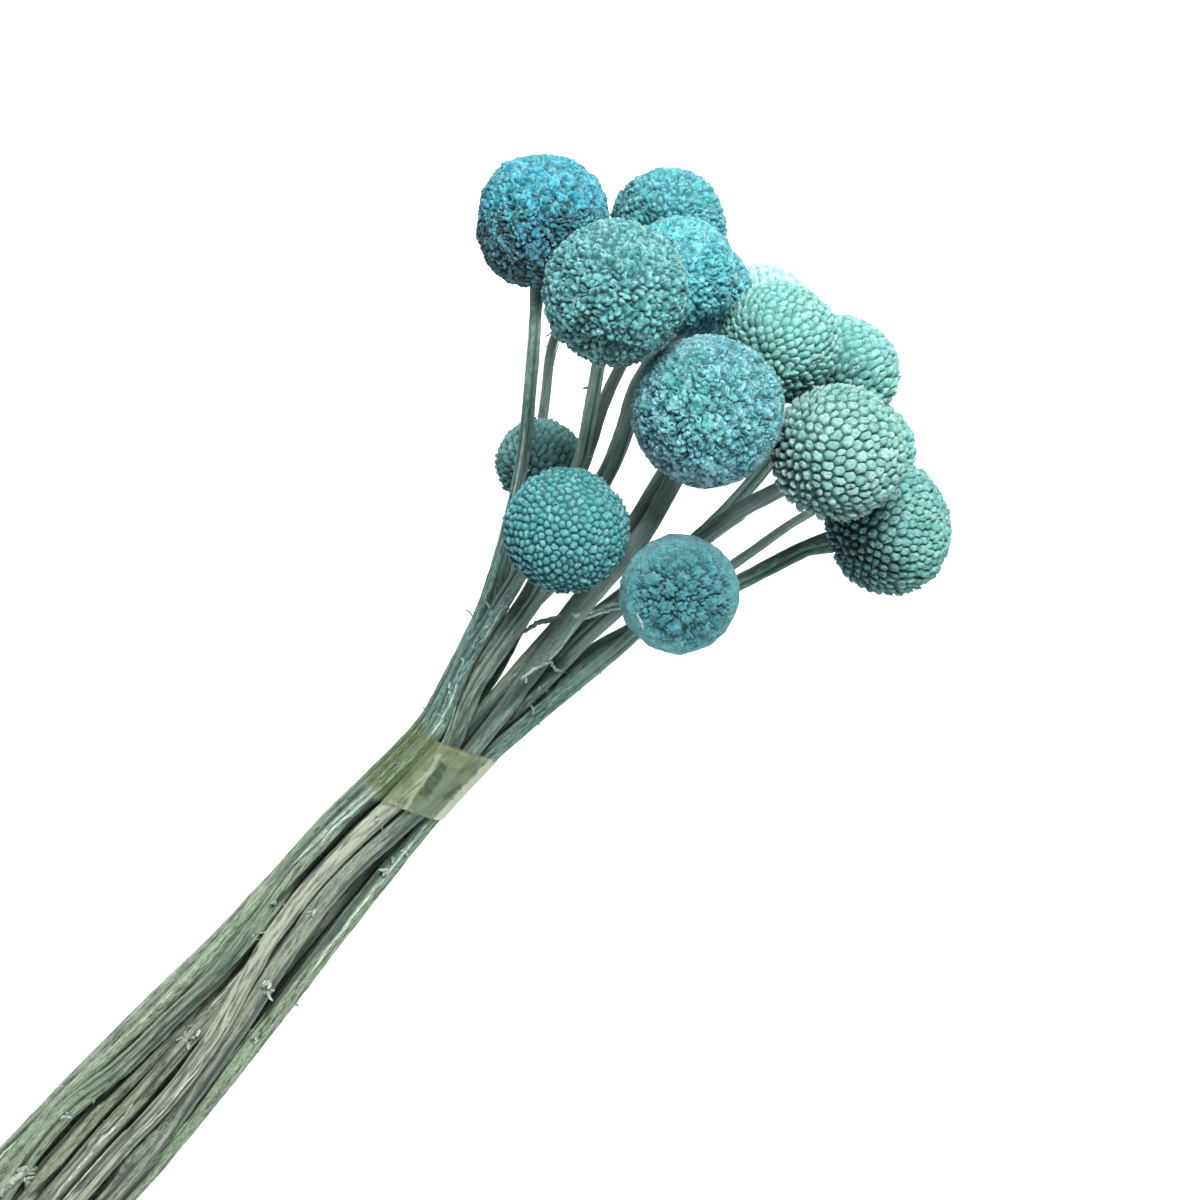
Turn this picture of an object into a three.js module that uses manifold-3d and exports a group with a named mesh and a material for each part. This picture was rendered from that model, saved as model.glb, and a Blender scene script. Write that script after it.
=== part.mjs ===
// A bunch of fifteen dried billy buttons (craspedia), tied with one band of clear film and lying
// on its side. Millimetres, +X from the cut ends to the flower heads, +Y across, +Z up.
// While it is built, x = 0 is the middle of the tie, y = 0 its axis and z = 0 the table.
// The finished group stands with the centre of its box over its origin.

import * as THREE from "three";
import Module from "manifold-3d";
import { ConvexGeometry } from "three/addons/geometries/ConvexGeometry.js";
import { mergeVertices } from "three/addons/utils/BufferGeometryUtils.js";

const wasm = await Module();
wasm.setup();

// ---- driving dimensions ----

const GAP = 0.3; // left between neighbouring pieces

const TIE_WIDTH = 17; // along the stems
const TIE_SLANT = 0.3; // how far along the stems the band leans for each step across them
const TIE_HEIGHT = 37; // axis of the tie above the table
const FILM = 0.4; // thickness of the tie
const TIE_SIDES = 40;
const STRAIGHT = 18; // length over which the stems run side by side through the tie

const BUNCH_BELOW_TIE = 317; // from the middle of the tie to the longest cut end
const CUT_HEIGHT = 7.8; // axis of the bunch above the table at the cut ends
const TIE_SPREAD = 1.04; // how much wider than a round bunch it lies in the tie
const CUT_SPREAD = 2; // how much wider than that round bunch it lies at the cut ends
const CUT_FLATNESS = 0.85; // and how much flatter
const TWIST = THREE.MathUtils.degToRad(100); // turn of the bunch from the tie to the cut ends
const WANDER = THREE.MathUtils.degToRad(35); // how far single stems stray from that turn

const STEM_SIDES = 6;
const STEM_IN_TIE = 3.7; // thickness of a stem inside the tie
const STEM_PITCH = STEM_IN_TIE + GAP + 0.05; // from one stem to the next inside the tie
const RING_RADII = { 1: 0.875 * STEM_PITCH, 2: 1.8 * STEM_PITCH }; // five stems within ten
const CUT_SLANT = 0.5; // how far a cut end leans, as a share of the stem's thickness
const NECK_FLARE = 1.3; // how much a stem thickens just under its head
const NECK_LENGTH = 5;
const SOCKET_DEPTH = 4; // how far a stem reaches into its head
const RINGS_BELOW_TIE = 20;
const RINGS_ABOVE_TIE = 11;
const RING_CROWDING = 1.35; // 1 is evenly spaced; more draws the rings closer together near the tie
const LOOSE_PLACES = [0.55, 0.8, 1]; // shares of the way to the cut ends where stems lie as they fall
const SETTLING_ROUNDS = 260;
const SETTLING_REACH = 30; // stretches of stem further apart along X than this never meet

const FLORET_AREA = 22; // of a head's skin, for each floret bump
const FLORET_DEPTH = 1.4; // from a floret's tip to the crease beside it
const FLORET_VARIETY = 0.03; // how much shorter the shortest floret stands, as a share of its radius
const SOCKET_SIDES = 8;
const GOLDEN_ANGLE = Math.PI * (3 - Math.sqrt(5));

const UP = new THREE.Vector3(0, 0, 1);
const DOWN = new THREE.Vector3(0, 0, -1);

const HEAD_COLORS = {
  blue: new THREE.Color(0.12, 0.42, 0.52),
  teal: new THREE.Color(0.14, 0.4, 0.4),
  mint: new THREE.Color(0.32, 0.62, 0.52),
};
const STEM_COLOR = new THREE.Color(0.3, 0.4, 0.34);
const FILM_COLOR = new THREE.Color(0.42, 0.5, 0.3);

// The flower heads. at: centre; across and along: size over and along the stem's own line;
// crown: where the top of the head faces; boxy: 2 is round, more is squarer;
// neck and cut: the stem's thickness under the head and at its cut end; ring and turn: the
// stem's place in the tie (ring 1 is inside ring 2; turn goes from +Y to +Z, in degrees);
// via: points that the stem bows through on its way up; low: points that it lies through below
// the tie, from the tie down; trim: how much shorter it is cut.
const HEADS = [
  { at: [101.3, 60, 38], across: 26.8, along: 28.8, crown: [0.77, 0.6, 0.2], boxy: 2.35, tone: "blue",
    neck: 2.5, cut: 4, ring: 2, turn: 15, trim: 3,
    via: [[18, 9.6, 38], [34, 14.6, 38], [58, 27, 40], [76, 40, 39.5]],
    low: [[-25, 8.2, 37.4], [-40, 7.8, 36.5], [-55, 7, 36.6], [-76, 7.4, 34.9], [-90, 8.4, 33.2],
      [-110, 9.8, 30.4]] },
  { at: [120.7, 41.2, 11.6], across: 26, along: 25.4, crown: [0.95, -0.25, -0.05], boxy: 2.1, tone: "blue",
    neck: 1.9, cut: 3.8, ring: 2, turn: 303, trim: 9,
    via: [[24, 9.5, 30], [40, 15.2, 25], [56, 23, 18], [72, 33.5, 13.2], [88, 44, 12.6]],
    low: [[-35, 6, 29], [-60, 5.9, 27.2], [-85, 6.9, 25.2], [-110, 7.9, 23.4]] },
  { at: [98.1, 36.6, 81], across: 29.4, along: 29, crown: [0.61, 0.33, 0.72], boxy: 2.15, tone: "teal",
    neck: 2.6, cut: 4.3, ring: 2, turn: 51, trim: 0,
    via: [[24, 9.2, 43], [40, 11.9, 43.5], [67.2, 18.4, 52], [78.4, 25, 59.5]],
    low: [[-25, 5.9, 41.2], [-40, 5.4, 40], [-55, 3.4, 39.2], [-76, 4.4, 37.8], [-90, 5.2, 36],
      [-110, 7.6, 33.8]] },
  { at: [111.1, 30.3, 57], across: 24.6, along: 24.6, crown: [0.85, 0.12, 0.5], boxy: 2.1, tone: "blue",
    neck: 2.4, cut: 3.9, ring: 1, turn: 33, trim: 12,
    via: [[24, 6.9, 40.6], [42, 9.6, 40.5], [73, 20.8, 45.5], [85, 26, 46.8]],
    low: [[-40, 3.4, 36.3], [-55, 3, 35], [-76, 2, 34.3], [-90, 2.2, 33], [-110, 2.6, 32.2]] },
  { at: [112.9, 26, 31.8], across: 23.6, along: 23.6, crown: [0.98, 0.15, 0], boxy: 2, tone: "blue",
    neck: 3.5, cut: 4.5, ring: 1, turn: 321, trim: 5,
    via: [[22, 3.4, 34.4], [31, 5.8, 34.8], [40, 8, 35], [71.4, 14.4, 34], [79, 17, 33.5],
      [87, 21.1, 33]],
    low: [[-35, 3.7, 32.2], [-60, 3.5, 30.6], [-85, 4.1, 28.4], [-110, 5.1, 26.4]] },
  { at: [119.4, 12.4, 11.1], across: 24.8, along: 24.4, crown: [0.97, 0.05, -0.2], boxy: 2.1, tone: "mint",
    neck: 1.8, cut: 3.7, ring: 2, turn: 267, trim: 14,
    via: [[40, -0.8, 25.5], [79, 6, 19]],
    low: [[-35, 1.4, 27.6], [-60, 1.4, 25.6], [-85, 2.4, 23.8], [-110, 3.6, 22]] },
  { at: [115.1, 5.9, 49.5], across: 25.6, along: 25.8, crown: [0.85, 0.05, 0.5], boxy: 2.15, tone: "mint",
    neck: 3.1, cut: 4.3, ring: 1, turn: 105, trim: 2,
    via: [[28, -0.2, 40], [45, 0.2, 41.5], [75, 3.8, 43]],
    low: [[-40, -0.7, 37.2], [-55, -1.1, 36], [-76, -1.1, 37], [-90, -1.6, 35.2],
      [-110, -1.6, 33.4]] },
  { at: [121.5, -8, 28], across: 24.8, along: 24.4, crown: [0.98, 0.05, -0.05], boxy: 2.1, tone: "mint",
    neck: 3, cut: 3.9, ring: 1, turn: 249, trim: 10,
    via: [[45, -4, 33], [75.4, -9.2, 31.5], [93.8, -9.5, 30]],
    low: [[-35, -1, 31.8], [-60, -1, 30], [-85, -0.6, 27.8]] },
  { at: [93.7, 7.2, 70.5], across: 30.8, along: 29.8, crown: [0.64, 0.19, 0.75], boxy: 2.15, tone: "blue",
    neck: 3.7, cut: 4.7, ring: 2, turn: 123, trim: 6,
    via: [[28, -2.6, 44], [47.3, -0.8, 46.5], [66, -0.1, 50.5]],
    low: [[-25, -2.3, 42.6], [-40, -2.6, 41], [-55, -5.1, 39.6], [-76, -8.4, 36.4],
      [-90, -10.1, 34.8], [-110, -11.4, 32.2]] },
  { at: [105.9, -18.2, 59.5], across: 28.2, along: 28.2, crown: [0.66, -0.18, 0.73], boxy: 2.1, tone: "mint",
    neck: 3.3, cut: 4.6, ring: 1, turn: 177, trim: 8,
    via: [[28, -5.2, 38.5], [45, -5.7, 38.5], [84.2, -11.6, 42.5]],
    low: [[-35, -4.9, 36], [-50, -5.3, 34.5], [-70, -6.2, 32.5], [-90, -7, 30.2]] },
  { at: [113.8, -23.4, 10], across: 22.6, along: 22.2, crown: [0.98, 0.03, -0.2], boxy: 2, tone: "mint",
    neck: 1.9, cut: 3.7, ring: 2, turn: 231, trim: 16,
    via: [[38, -7.8, 28.5], [52, -12, 26.5], [75.5, -18.5, 21.5], [92.3, -22.3, 16]],
    low: [[-35, -4.1, 29.5], [-60, -4.9, 28], [-85, -4.8, 25.6], [-110, -3.6, 23]] },
  { at: [103.3, -37.1, 33], across: 29.4, along: 26.6, crown: [0.78, -0.5, 0.36], boxy: 2.1, tone: "mint",
    neck: 3.6, cut: 4.6, ring: 2, turn: 195, trim: 1,
    via: [[30, -8.4, 33.5], [49, -12, 33], [72.9, -21.7, 33]],
    low: [[-35, -7.9, 33.2], [-60, -8.9, 31], [-85, -10.9, 28.4], [-110, -11.8, 25.4]] },
  { at: [56.5, 12.2, 60], across: 26, along: 25, crown: [0.45, 0.22, 0.87], boxy: 2.15, tone: "teal",
    neck: 3, cut: 4.1, ring: 2, turn: 87, trim: 11,
    via: [[20, 4.4, 44], [32, 6.2, 43.6]],
    low: [[-25, 1.6, 43], [-40, 1.4, 42], [-55, -1.1, 40.6], [-76, -5.5, 39.3],
      [-90, -6.4, 37.4], [-110, -6.1, 35]] },
  { at: [63.7, 26.6, 27], across: 19.8, along: 19.4, crown: [0.82, 0.5, 0.1], boxy: 2, tone: "teal",
    neck: 2.2, cut: 3.7, ring: 2, turn: 339, trim: 13,
    via: [[22, 9, 32], [35, 11.2, 30.5]],
    low: [[-40, 8.2, 32.3], [-55, 8.2, 31.8], [-76, 9.5, 30.8], [-90, 10, 29.2],
      [-110, 10.6, 26.6]] },
  { at: [62.6, -13.8, 60], across: 24.2, along: 24.2, crown: [0.45, -0.05, 0.89], boxy: 2.15, tone: "teal",
    neck: 3, cut: 4.2, ring: 2, turn: 159, trim: 7,
    via: [[24, -9.1, 39.5], [36, -10.9, 40], [46, -12.2, 42]],
    low: [[-25, -8.2, 38.8], [-40, -9.2, 36.6], [-55, -10.6, 35.3], [-76, -12, 34],
      [-90, -12.8, 31.7], [-110, -13.4, 28.8]] },
];

// ---- small helpers ----

/** A repeatable run of numbers from 0 to 1. */
function randomRun(seed) {
  let state = seed;
  return () => {
    state = (state * 1664525 + 1013904223) % 4294967296;
    return state / 4294967296;
  };
}

/** A closed geometry with its corners shared, as manifold-3d takes it. */
function solidOf(geometry) {
  const bare = new THREE.BufferGeometry();
  bare.setAttribute("position", geometry.getAttribute("position"));
  bare.setIndex(geometry.getIndex());
  const merged = mergeVertices(bare, 1e-5);
  const vertProperties = new Float32Array(merged.getAttribute("position").array);
  const triVerts = new Uint32Array(merged.getIndex().array);
  return new wasm.Manifold(new wasm.Mesh({ numProp: 3, vertProperties, triVerts }));
}

/** The geometry of a manifold-3d solid. */
function geometryOf(solid) {
  const mesh = solid.getMesh();
  const geometry = new THREE.BufferGeometry();
  geometry.setAttribute("position", new THREE.BufferAttribute(mesh.vertProperties, 3));
  geometry.setIndex(new THREE.BufferAttribute(mesh.triVerts, 1));
  return geometry;
}

function meshOf(name, geometry, color, roughness) {
  geometry.computeVertexNormals();
  const material = new THREE.MeshStandardMaterial({ color, roughness, metalness: 0 });
  const mesh = new THREE.Mesh(geometry, material);
  mesh.name = name;
  return mesh;
}

// ---- flower heads ----

/** Distance from a head's centre to its skin, as a share of the head's half size. */
function reach(direction, boxy) {
  const sum = Math.abs(direction.x) ** boxy + Math.abs(direction.y) ** boxy + Math.abs(direction.z) ** boxy;
  return sum ** (-1 / boxy);
}

/** Points spread evenly over a ball in the spiral in which florets grow, from the crown (+Z) down. */
function floretDirections(count) {
  return Array.from({ length: count }, (_, i) => {
    const height = 1 - (2 * (i + 0.5)) / count;
    const radius = Math.sqrt(1 - height * height);
    const turn = i * GOLDEN_ANGLE;
    return new THREE.Vector3(radius * Math.cos(turn), radius * Math.sin(turn), height);
  });
}

/** A ball of florets: each a pointed bump whose foot meets its neighbours' in a crease. */
function floretBall({ across, along, boxy }, random) {
  const size = new THREE.Vector3(across, across, along).multiplyScalar(0.5);
  const count = Math.round((Math.PI * across * along) / FLORET_AREA);
  const directions = floretDirections(count);
  const skin = mergeVertices(new ConvexGeometry(directions).deleteAttribute("normal"), 1e-5);
  const corners = skin.getAttribute("position");
  const faces = skin.getIndex().array;

  const tips = Array.from({ length: corners.count }, (_, i) => {
    const tip = new THREE.Vector3().fromBufferAttribute(corners, i);
    return tip.multiplyScalar(reach(tip, boxy) * (1 - FLORET_VARIETY * random())).multiply(size);
  });
  const creases = [];
  const leftOf = new Map(); // the face to the left of each directed edge
  for (let f = 0; f < faces.length; f += 3) {
    const crease = new THREE.Vector3();
    for (let k = 0; k < 3; k++) {
      crease.add(new THREE.Vector3().fromBufferAttribute(corners, faces[f + k]));
      leftOf.set(`${faces[f + k]} ${faces[f + ((k + 1) % 3)]}`, f / 3);
    }
    crease.normalize();
    crease.multiplyScalar(reach(crease, boxy)).multiply(size);
    creases.push(crease.setLength(crease.length() - FLORET_DEPTH));
  }

  const index = [];
  for (const [edge, left] of leftOf) {
    const [from, to] = edge.split(" ");
    const right = leftOf.get(`${to} ${from}`);
    index.push(Number(from), tips.length + right, tips.length + left);
  }
  const geometry = new THREE.BufferGeometry().setFromPoints([...tips, ...creases]);
  geometry.setIndex(index);
  return geometry;
}

/** One flower head, with the socket that its stem goes into, flat where it lies on the table. */
function flowerHead(head, name, random) {
  const lean = new THREE.Quaternion().setFromUnitVectors(UP, head.facing);
  const pose = new THREE.Matrix4().compose(head.centre, lean, new THREE.Vector3(1, 1, 1));
  const socketRadius = (head.neck * NECK_FLARE) / 2 + GAP;
  const socketLength = SOCKET_DEPTH + head.along / 4;
  const socket = new THREE.CylinderGeometry(socketRadius, socketRadius, socketLength, SOCKET_SIDES);
  socket.rotateX(Math.PI / 2);
  socket.translate(0, 0, GAP - head.along / 2 + SOCKET_DEPTH - socketLength / 2);
  let solid = solidOf(floretBall(head, random)).subtract(solidOf(socket));
  if (head.centre.z < head.along / 2) {
    const table = new THREE.BoxGeometry(4 * head.along, 4 * head.along, head.along);
    table.translate(head.centre.x, head.centre.y, -head.along / 2);
    table.applyMatrix4(pose.clone().invert());
    solid = solid.subtract(solidOf(table));
  }
  const mesh = meshOf(name, geometryOf(solid), HEAD_COLORS[head.tone], 0.95);
  mesh.position.copy(head.centre);
  mesh.quaternion.copy(lean);
  return mesh;
}

// ---- stems ----

/** A stem's place in the bunch: t runs from 0 where it enters the tie to 1 at the cut ends. */
function placeInBunch(head, wander, t) {
  const turn = THREE.MathUtils.degToRad(head.turn) + (TWIST + wander) * t;
  const spread = THREE.MathUtils.lerp(TIE_SPREAD, CUT_SPREAD, Math.sin((t * Math.PI) / 2));
  const flatness = THREE.MathUtils.lerp(1, CUT_FLATNESS, t);
  const radius = RING_RADII[head.ring];
  return new THREE.Vector3(
    -THREE.MathUtils.lerp(STRAIGHT / 2, BUNCH_BELOW_TIE, t),
    radius * spread * Math.cos(turn),
    THREE.MathUtils.lerp(TIE_HEIGHT, CUT_HEIGHT, t) + radius * flatness * Math.sin(turn),
  );
}

/** A smooth line through points. */
function bow(points) {
  return new THREE.CatmullRomCurve3(points, false, "centripetal");
}

function vectorsOf(points) {
  return points.map((point) => new THREE.Vector3(...point));
}

/** The line of a stem below the tie, from its cut end up. */
function lowerLine(head, wander) {
  const cutEnd = 1 - head.trim / (BUNCH_BELOW_TIE - STRAIGHT / 2);
  const loose = LOOSE_PLACES.map((share) => placeInBunch(head, wander, cutEnd * share));
  return bow([placeInBunch(head, wander, 0), ...vectorsOf(head.low), ...loose].reverse());
}

/** The middle line of a stem from its cut end to its socket, as points with a radius each. */
function stemLine(head, random) {
  const wander = WANDER * (2 * random() - 1);
  const lower = lowerLine(head, wander);
  const line = [];
  for (let i = 1; i <= RINGS_BELOW_TIE; i++) {
    const left = 1 - (i - 1) / (RINGS_BELOW_TIE - 1);
    const point = lower.getPointAt(1 - left ** RING_CROWDING);
    line.push({ point, held: i === RINGS_BELOW_TIE });
  }
  const low = line[line.length - 1].point;
  const leave = new THREE.Vector3(-low.x, low.y, low.z);
  const tuck = head.facing.clone().multiplyScalar(head.along / 2 - SOCKET_DEPTH);
  const end = head.centre.clone().sub(tuck);
  const skin = end.clone().addScaledVector(head.facing, -SOCKET_DEPTH);
  const neck = skin.clone().addScaledVector(head.facing, -NECK_LENGTH);
  const upper = bow([leave, ...vectorsOf(head.via), neck, skin]);
  const neckShare = 1 - NECK_LENGTH / upper.getLength();
  for (let i = 0; i <= RINGS_ABOVE_TIE; i++) {
    const point = upper.getPointAt((neckShare * i) / RINGS_ABOVE_TIE);
    line.push({ point, held: i === 0 || i === RINGS_ABOVE_TIE });
  }
  line.push({ point: skin, held: true });
  line.push({ point: end, held: true });

  line.forEach((ring, i) => {
    const above = THREE.MathUtils.smoothstep(ring.point.x / neck.x, 0, 1);
    const below = THREE.MathUtils.clamp(-ring.point.x / BUNCH_BELOW_TIE, 0, 1);
    const flare = i >= line.length - 2 ? NECK_FLARE : 1;
    const towardsNeck = above * (head.neck - STEM_IN_TIE);
    const towardsCut = below * (head.cut - STEM_IN_TIE);
    ring.radius = ((STEM_IN_TIE + towardsNeck + towardsCut) / 2) * flare;
  });
  return line;
}

/** Shares s and t (0 to 1) of the nearest points of two straight stretches. */
function nearestShares(a0, a1, b0, b1) {
  const along = a1.clone().sub(a0);
  const other = b1.clone().sub(b0);
  const between = a0.clone().sub(b0);
  const aa = along.dot(along);
  const bb = other.dot(other);
  const ab = along.dot(other);
  const ad = along.dot(between);
  const bd = other.dot(between);
  const slant = aa * bb - ab * ab;
  const clamp = (share) => THREE.MathUtils.clamp(share, 0, 1);
  let s = slant > 1e-9 ? clamp((ab * bd - ad * bb) / slant) : 0.5;
  const t = clamp((ab * s + bd) / bb);
  s = clamp((ab * t - ad) / aa);
  return [s, t];
}

/** Moves the ends of one stretch of a stem, unless they are held. */
function nudge(line, i, share, move) {
  if (!line[i].held) line[i].point.addScaledVector(move, 1 - share);
  if (!line[i + 1].held) line[i + 1].point.addScaledVector(move, share);
}

/** Pushes two stems apart where they come closer than GAP. */
function partStems(one, two) {
  for (let i = 0; i + 1 < one.length; i++) {
    for (let j = 0; j + 1 < two.length; j++) {
      const [a0, a1, b0, b1] = [one[i], one[i + 1], two[j], two[j + 1]];
      if (Math.abs(a0.point.x + a1.point.x - b0.point.x - b1.point.x) / 2 > SETTLING_REACH) continue;
      const [s, t] = nearestShares(a0.point, a1.point, b0.point, b1.point);
      const there = a0.point.clone().lerp(a1.point, s);
      const move = there.sub(b0.point.clone().lerp(b1.point, t));
      const thick = THREE.MathUtils.lerp(a0.radius, a1.radius, s);
      const need = thick + THREE.MathUtils.lerp(b0.radius, b1.radius, t) + GAP * 1.5;
      const short = need - move.length();
      if (short <= 0) continue;
      move.setLength(short * 0.6);
      nudge(one, i, s, move);
      nudge(two, j, t, move.negate());
    }
  }
}

/** Pushes a stem out of a head that isn't its own. */
function clearHead(line, head) {
  const middle = head.centre;
  for (let i = 0; i + 1 < line.length; i++) {
    const stretch = new THREE.Line3(line[i].point, line[i + 1].point);
    const share = stretch.closestPointToPointParameter(middle, true);
    const move = stretch.at(share, new THREE.Vector3()).sub(middle);
    const need = Math.max(head.across, head.along) / 2 + line[i].radius + GAP * 2;
    const short = need - move.length();
    if (short > 0) nudge(line, i, share, move.setLength(short));
  }
}

/** Evens out how far the settling has moved each ring of a stem from its first place. */
function evenOut(line) {
  const moved = line.map((ring) => ring.point.clone().sub(ring.first));
  for (let i = 1; i + 1 < line.length; i++) {
    if (line[i].held) continue;
    const nearby = moved[i - 1].clone().add(moved[i + 1]).multiplyScalar(0.5);
    line[i].point.copy(line[i].first).add(moved[i].lerp(nearby, 0.2));
  }
}

/** Lets the stems settle side by side: none crosses another, a head or the table. */
function settle(lines) {
  lines.forEach((line) => line.forEach((ring) => (ring.first = ring.point.clone())));
  for (let round = 0; round < SETTLING_ROUNDS; round++) {
    if (round < SETTLING_ROUNDS * 0.7) lines.forEach(evenOut);
    for (let a = 0; a < lines.length; a++) {
      for (let b = a + 1; b < lines.length; b++) partStems(lines[a], lines[b]);
      HEADS.forEach((head, h) => h !== a && clearHead(lines[a], head));
      for (const ring of lines[a]) {
        if (!ring.held) ring.point.z = Math.max(ring.point.z, ring.radius);
      }
    }
  }
}

/** A closed tube through the rings of a stem. */
function stemTube(line) {
  const points = [];
  line.forEach((ring, i) => {
    const before = line[Math.max(i - 1, 0)].point;
    const after = line[Math.min(i + 1, line.length - 1)].point;
    const forward = after.clone().sub(before).normalize();
    const side = DOWN.clone().addScaledVector(forward, -DOWN.dot(forward)).normalize();
    const across = forward.clone().cross(side);
    for (let k = 0; k < STEM_SIDES; k++) {
      const turn = (2 * Math.PI * k) / STEM_SIDES;
      const point = ring.point.clone();
      point.addScaledVector(side, ring.radius * Math.cos(turn));
      point.addScaledVector(across, ring.radius * Math.sin(turn));
      if (i === 0) point.addScaledVector(forward, CUT_SLANT * ring.radius * Math.cos(turn));
      points.push(point);
    }
  });
  const index = [];
  const last = (line.length - 1) * STEM_SIDES;
  for (let i = 0; i < last; i += STEM_SIDES) {
    for (let k = 0; k < STEM_SIDES; k++) {
      const next = (k + 1) % STEM_SIDES;
      index.push(i + k, i + next, i + STEM_SIDES + next);
      index.push(i + k, i + STEM_SIDES + next, i + STEM_SIDES + k);
    }
  }
  for (let k = 1; k + 1 < STEM_SIDES; k++) {
    index.push(0, k + 1, k);
    index.push(last, last + k, last + k + 1);
  }
  const geometry = new THREE.BufferGeometry().setFromPoints(points);
  geometry.setIndex(index);
  return geometry;
}

// ---- tie ----

/** The band of film: pulled round the outermost stems, GAP clear of them. */
function tieBand(lines) {
  const circles = lines.map((line) => line.find((ring) => ring.held));
  const outline = (Type, extra) => {
    const points = Array.from({ length: TIE_SIDES }, (_, k) => {
      const turn = (2 * Math.PI * k) / TIE_SIDES;
      const outward = new THREE.Vector2(Math.cos(turn), Math.sin(turn));
      const widest = circles.map(({ point, radius }) => {
        return point.y * outward.x + (point.z - TIE_HEIGHT) * outward.y + radius;
      });
      return outward.multiplyScalar(Math.max(...widest) + extra);
    });
    return new Type(points);
  };
  const section = outline(THREE.Shape, GAP + FILM);
  section.holes.push(outline(THREE.Path, GAP));
  const band = new THREE.ExtrudeGeometry(section, { depth: TIE_WIDTH, bevelEnabled: false });
  band.translate(0, 0, -TIE_WIDTH / 2);
  const alongX = new THREE.Matrix4().makeBasis(new THREE.Vector3(0, 1, 0), UP, new THREE.Vector3(1, 0, 0));
  band.applyMatrix4(alongX);
  band.applyMatrix4(new THREE.Matrix4().makeShear(0, 0, -TIE_SLANT, 0, 0, 0));
  return geometryOf(solidOf(band));
}

// ---- the bunch ----

const random = randomRun(7);
for (const head of HEADS) {
  head.centre = new THREE.Vector3(...head.at);
  head.facing = new THREE.Vector3(...head.crown).normalize();
}
const stemLines = HEADS.map((head) => stemLine(head, random));
settle(stemLines);

const bunch = new THREE.Group();
HEADS.forEach((head, i) => {
  const label = String(i + 1).padStart(2, "0");
  bunch.add(flowerHead(head, `head_${label}`, random));
  bunch.add(meshOf(`stem_${label}`, stemTube(stemLines[i]), STEM_COLOR, 0.9));
});
const tie = meshOf("tie", tieBand(stemLines), FILM_COLOR, 0.3);
tie.position.set(0, 0, TIE_HEIGHT);
bunch.add(tie);

const box = new THREE.Box3().setFromObject(bunch, true);
const middle = box.getCenter(new THREE.Vector3());
bunch.position.set(-middle.x, -middle.y, -box.min.z);

export default bunch;
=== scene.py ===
import math

import bmesh
import bpy
import numpy as np
from mathutils import Matrix, Vector
from mathutils.bvhtree import BVHTree


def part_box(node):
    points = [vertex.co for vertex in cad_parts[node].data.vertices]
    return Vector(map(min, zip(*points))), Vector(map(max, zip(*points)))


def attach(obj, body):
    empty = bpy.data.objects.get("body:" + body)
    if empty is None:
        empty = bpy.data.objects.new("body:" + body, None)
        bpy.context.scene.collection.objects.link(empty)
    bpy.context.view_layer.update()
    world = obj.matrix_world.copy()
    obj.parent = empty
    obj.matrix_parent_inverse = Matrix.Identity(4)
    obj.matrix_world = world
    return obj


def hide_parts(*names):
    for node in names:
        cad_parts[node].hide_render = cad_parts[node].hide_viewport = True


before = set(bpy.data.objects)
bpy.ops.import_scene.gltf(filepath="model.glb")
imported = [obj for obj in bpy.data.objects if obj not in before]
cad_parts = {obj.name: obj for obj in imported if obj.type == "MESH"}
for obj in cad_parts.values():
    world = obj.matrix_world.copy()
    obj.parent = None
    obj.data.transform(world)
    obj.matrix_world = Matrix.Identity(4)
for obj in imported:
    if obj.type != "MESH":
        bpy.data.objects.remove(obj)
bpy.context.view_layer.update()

# A tied bunch of dried, dyed billy buttons lying on a table. All sizes are in millimetres until a
# mesh is made. +X runs from the cut ends to the flower heads and +Z is up.

MM = 0.001
GOLDEN_ANGLE = math.pi * (3 - math.sqrt(5))
BODY = "root"

# ---- the view ----

CAMERA_FROM_TIE = np.array([50.7, -2.6, 853.0])  # straight above the stems' upper ends
CAMERA_UP = np.array([0.738, 0.675, 0.0])
LENS = 121.4
SENSOR = 36.0
PIXELS_ACROSS = 1200  # of the square image that pixels are counted in

# ---- flower heads ----

# style: how the florets grow; spacing: from floret to floret; felt: their colours; slot: the record's
# finish. crack_at and cracked: where a head is cracked open, as a direction and how near to it the
# cracks begin and are full
HEADS = {
    "01": dict(style="woolly", spacing=1.4, felt="sky", slot="head_blue"),
    "02": dict(style="knobbly", spacing=1.65, felt="turquoise", slot="head_blue"),
    "03": dict(style="knobbly", spacing=1.7, felt="sea", slot="head_teal"),
    "04": dict(style="woolly", spacing=1.35, felt="aqua", slot="head_blue"),
    "05": dict(style="woolly", spacing=1.9, felt="aqua", slot="head_blue"),
    "06": dict(style="small_beads", spacing=2.0, felt="pale_mint", slot="head_mint"),
    "07": dict(style="small_beads", spacing=2.05, felt="mint", slot="head_mint"),
    "08": dict(style="small_beads", spacing=2.1, felt="mint", slot="head_mint"),
    "09": dict(style="woolly", spacing=1.4, felt="cyan", slot="head_blue"),
    "10": dict(style="beaded", spacing=2.5, felt="dusty_mint", slot="head_mint"),
    "11": dict(style="small_beads", spacing=2.3, felt="mint", slot="head_mint"),
    "12": dict(style="beaded", spacing=2.2, felt="two_tone", slot="head_mint"),
    "13": dict(style="small_beads", spacing=1.8, felt="jade", slot="head_teal"),
    "14": dict(style="small_beads", spacing=1.8, felt="sage", slot="head_teal"),
    "15": dict(style="clumped", spacing=1.2, felt="deep_teal", slot="head_teal",
               crack_at=(0.0, -0.15, 1.0), cracked=(0.4, 0.75)),
}

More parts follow.
